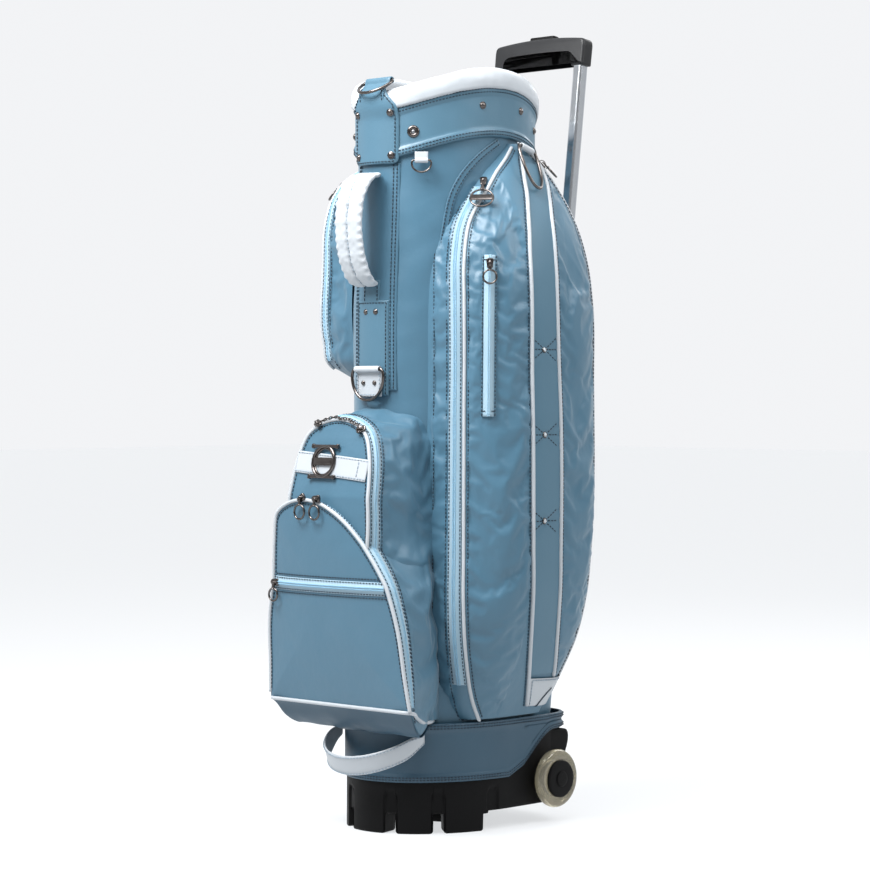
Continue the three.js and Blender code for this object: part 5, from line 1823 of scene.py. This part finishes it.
def dress_frame():
    """Procedural material for every frame node that still shows."""
    by_slot = {
        "base_plastic": BLACK, "grip_plastic": GREY, "blue_fabric": NYLON, "blue_leather": LEATHER,
        "white_leather": WHITE, "lining": LINING, "aluminium": ALUMINIUM, "steel": STEEL,
        "gunmetal": GUNMETAL, "clear_tyre": TYRE
    }
    slots = {part["node"]: part["material_slot"] for part in frame["record"]["subparts"]}
    for name, node in frame["nodes"].items():
        mat = by_slot[slots[name]]
        node.data.materials.clear()
        node.data.materials.append(mat)


make_front_trim()
make_tongue()
make_handle()
make_rings()
make_collar_hardware()
make_pulls()
make_pocket_strap(upper_skin)
make_chain(upper_skin)
make_grab_strap()
make_grip()
dress_frame()


# ---------------------------------------------------------------- camera and light
def make_stage():
    """Pale floor, soft studio light, and the camera."""
    scene = bpy.context.scene
    half = 16.0
    mesh = bpy.data.meshes.new("floor")
    mesh.from_pydata(
        [(-half, -half, 0), (half, -half, 0), (half, half, 0), (-half, half, 0)], [], [(0, 1, 2, 3)]
    )
    floor = bpy.data.objects.new("floor", mesh)
    scene.collection.objects.link(floor)
    mat = bpy.data.materials.new("pale_floor")
    mat.use_nodes = True
    shader = mat.node_tree.nodes["Principled BSDF"]
    shader.inputs["Base Color"].default_value = (0.25, 0.255, 0.26, 1)
    shader.inputs["Roughness"].default_value = 0.7
    shader.inputs["Emission Color"].default_value = (0.96, 0.98, 1.0, 1)
    shader.inputs["Emission Strength"].default_value = 0.66
    mesh.materials.append(mat)
    world = bpy.data.worlds.new("studio")
    world.use_nodes = True
    nodes, links = world.node_tree.nodes, world.node_tree.links
    backdrop = nodes.new("ShaderNodeVectorMath")
    backdrop.operation = "DOT_PRODUCT"
    backdrop.inputs[1].default_value = (-0.695, 0.719, 0.25)
    links.new(nodes.new("ShaderNodeTexCoord").outputs["Generated"], backdrop.inputs[0])
    level = nodes.new("ShaderNodeMapRange")
    level.interpolation_type = "SMOOTHSTEP"
    level.inputs["From Min"].default_value = -0.5
    level.inputs["From Max"].default_value = 0.75
    level.inputs["To Min"].default_value = 0.27
    level.inputs["To Max"].default_value = 0.92
    links.new(backdrop.outputs["Value"], level.inputs["Value"])
    links.new(level.outputs["Result"], nodes["Background"].inputs["Strength"])
    nodes["Background"].inputs["Color"].default_value = (0.97, 0.98, 1.0, 1)
    scene.world = world
    scene.view_settings.view_transform = "Standard"
    lamps = [
        ("key", (-0.15, -1.25, 1.95), (0, 0, 0.95), 0.9, 70),
        ("side", (1.7, 0.75, 1.8), (0, 0, 0.8), 0.9, 20),
        ("top", (0.5, -0.6, 1.9), (0, 0, 0.9), 0.9, 17),
        ("back", (-0.4, 2.2, 2.0), (0, 0, 0.7), 1.4, 16),
    ]
    for name, at, target, size, power in lamps:
        light = bpy.data.lights.new(name, "AREA")
        light.shape = "SQUARE"
        light.size = size
        light.energy = power
        lamp = bpy.data.objects.new(name, light)
        lamp.location = at
        lamp.rotation_euler = (Vector(target) - Vector(at)).to_track_quat("-Z", "Y").to_euler()
        scene.collection.objects.link(lamp)
    camera = bpy.data.objects.new("camera", bpy.data.cameras.new("camera"))
    camera.location = (2.179, -2.275, 0.4994)
    camera.rotation_euler = (math.radians(90), 0, math.radians(44))
    camera.data.lens = 111.7
    camera.data.sensor_width = 36
    camera.data.shift_y = -0.0517
    camera.data.clip_end = 50
    scene.collection.objects.link(camera)
    scene.camera = camera


make_stage()
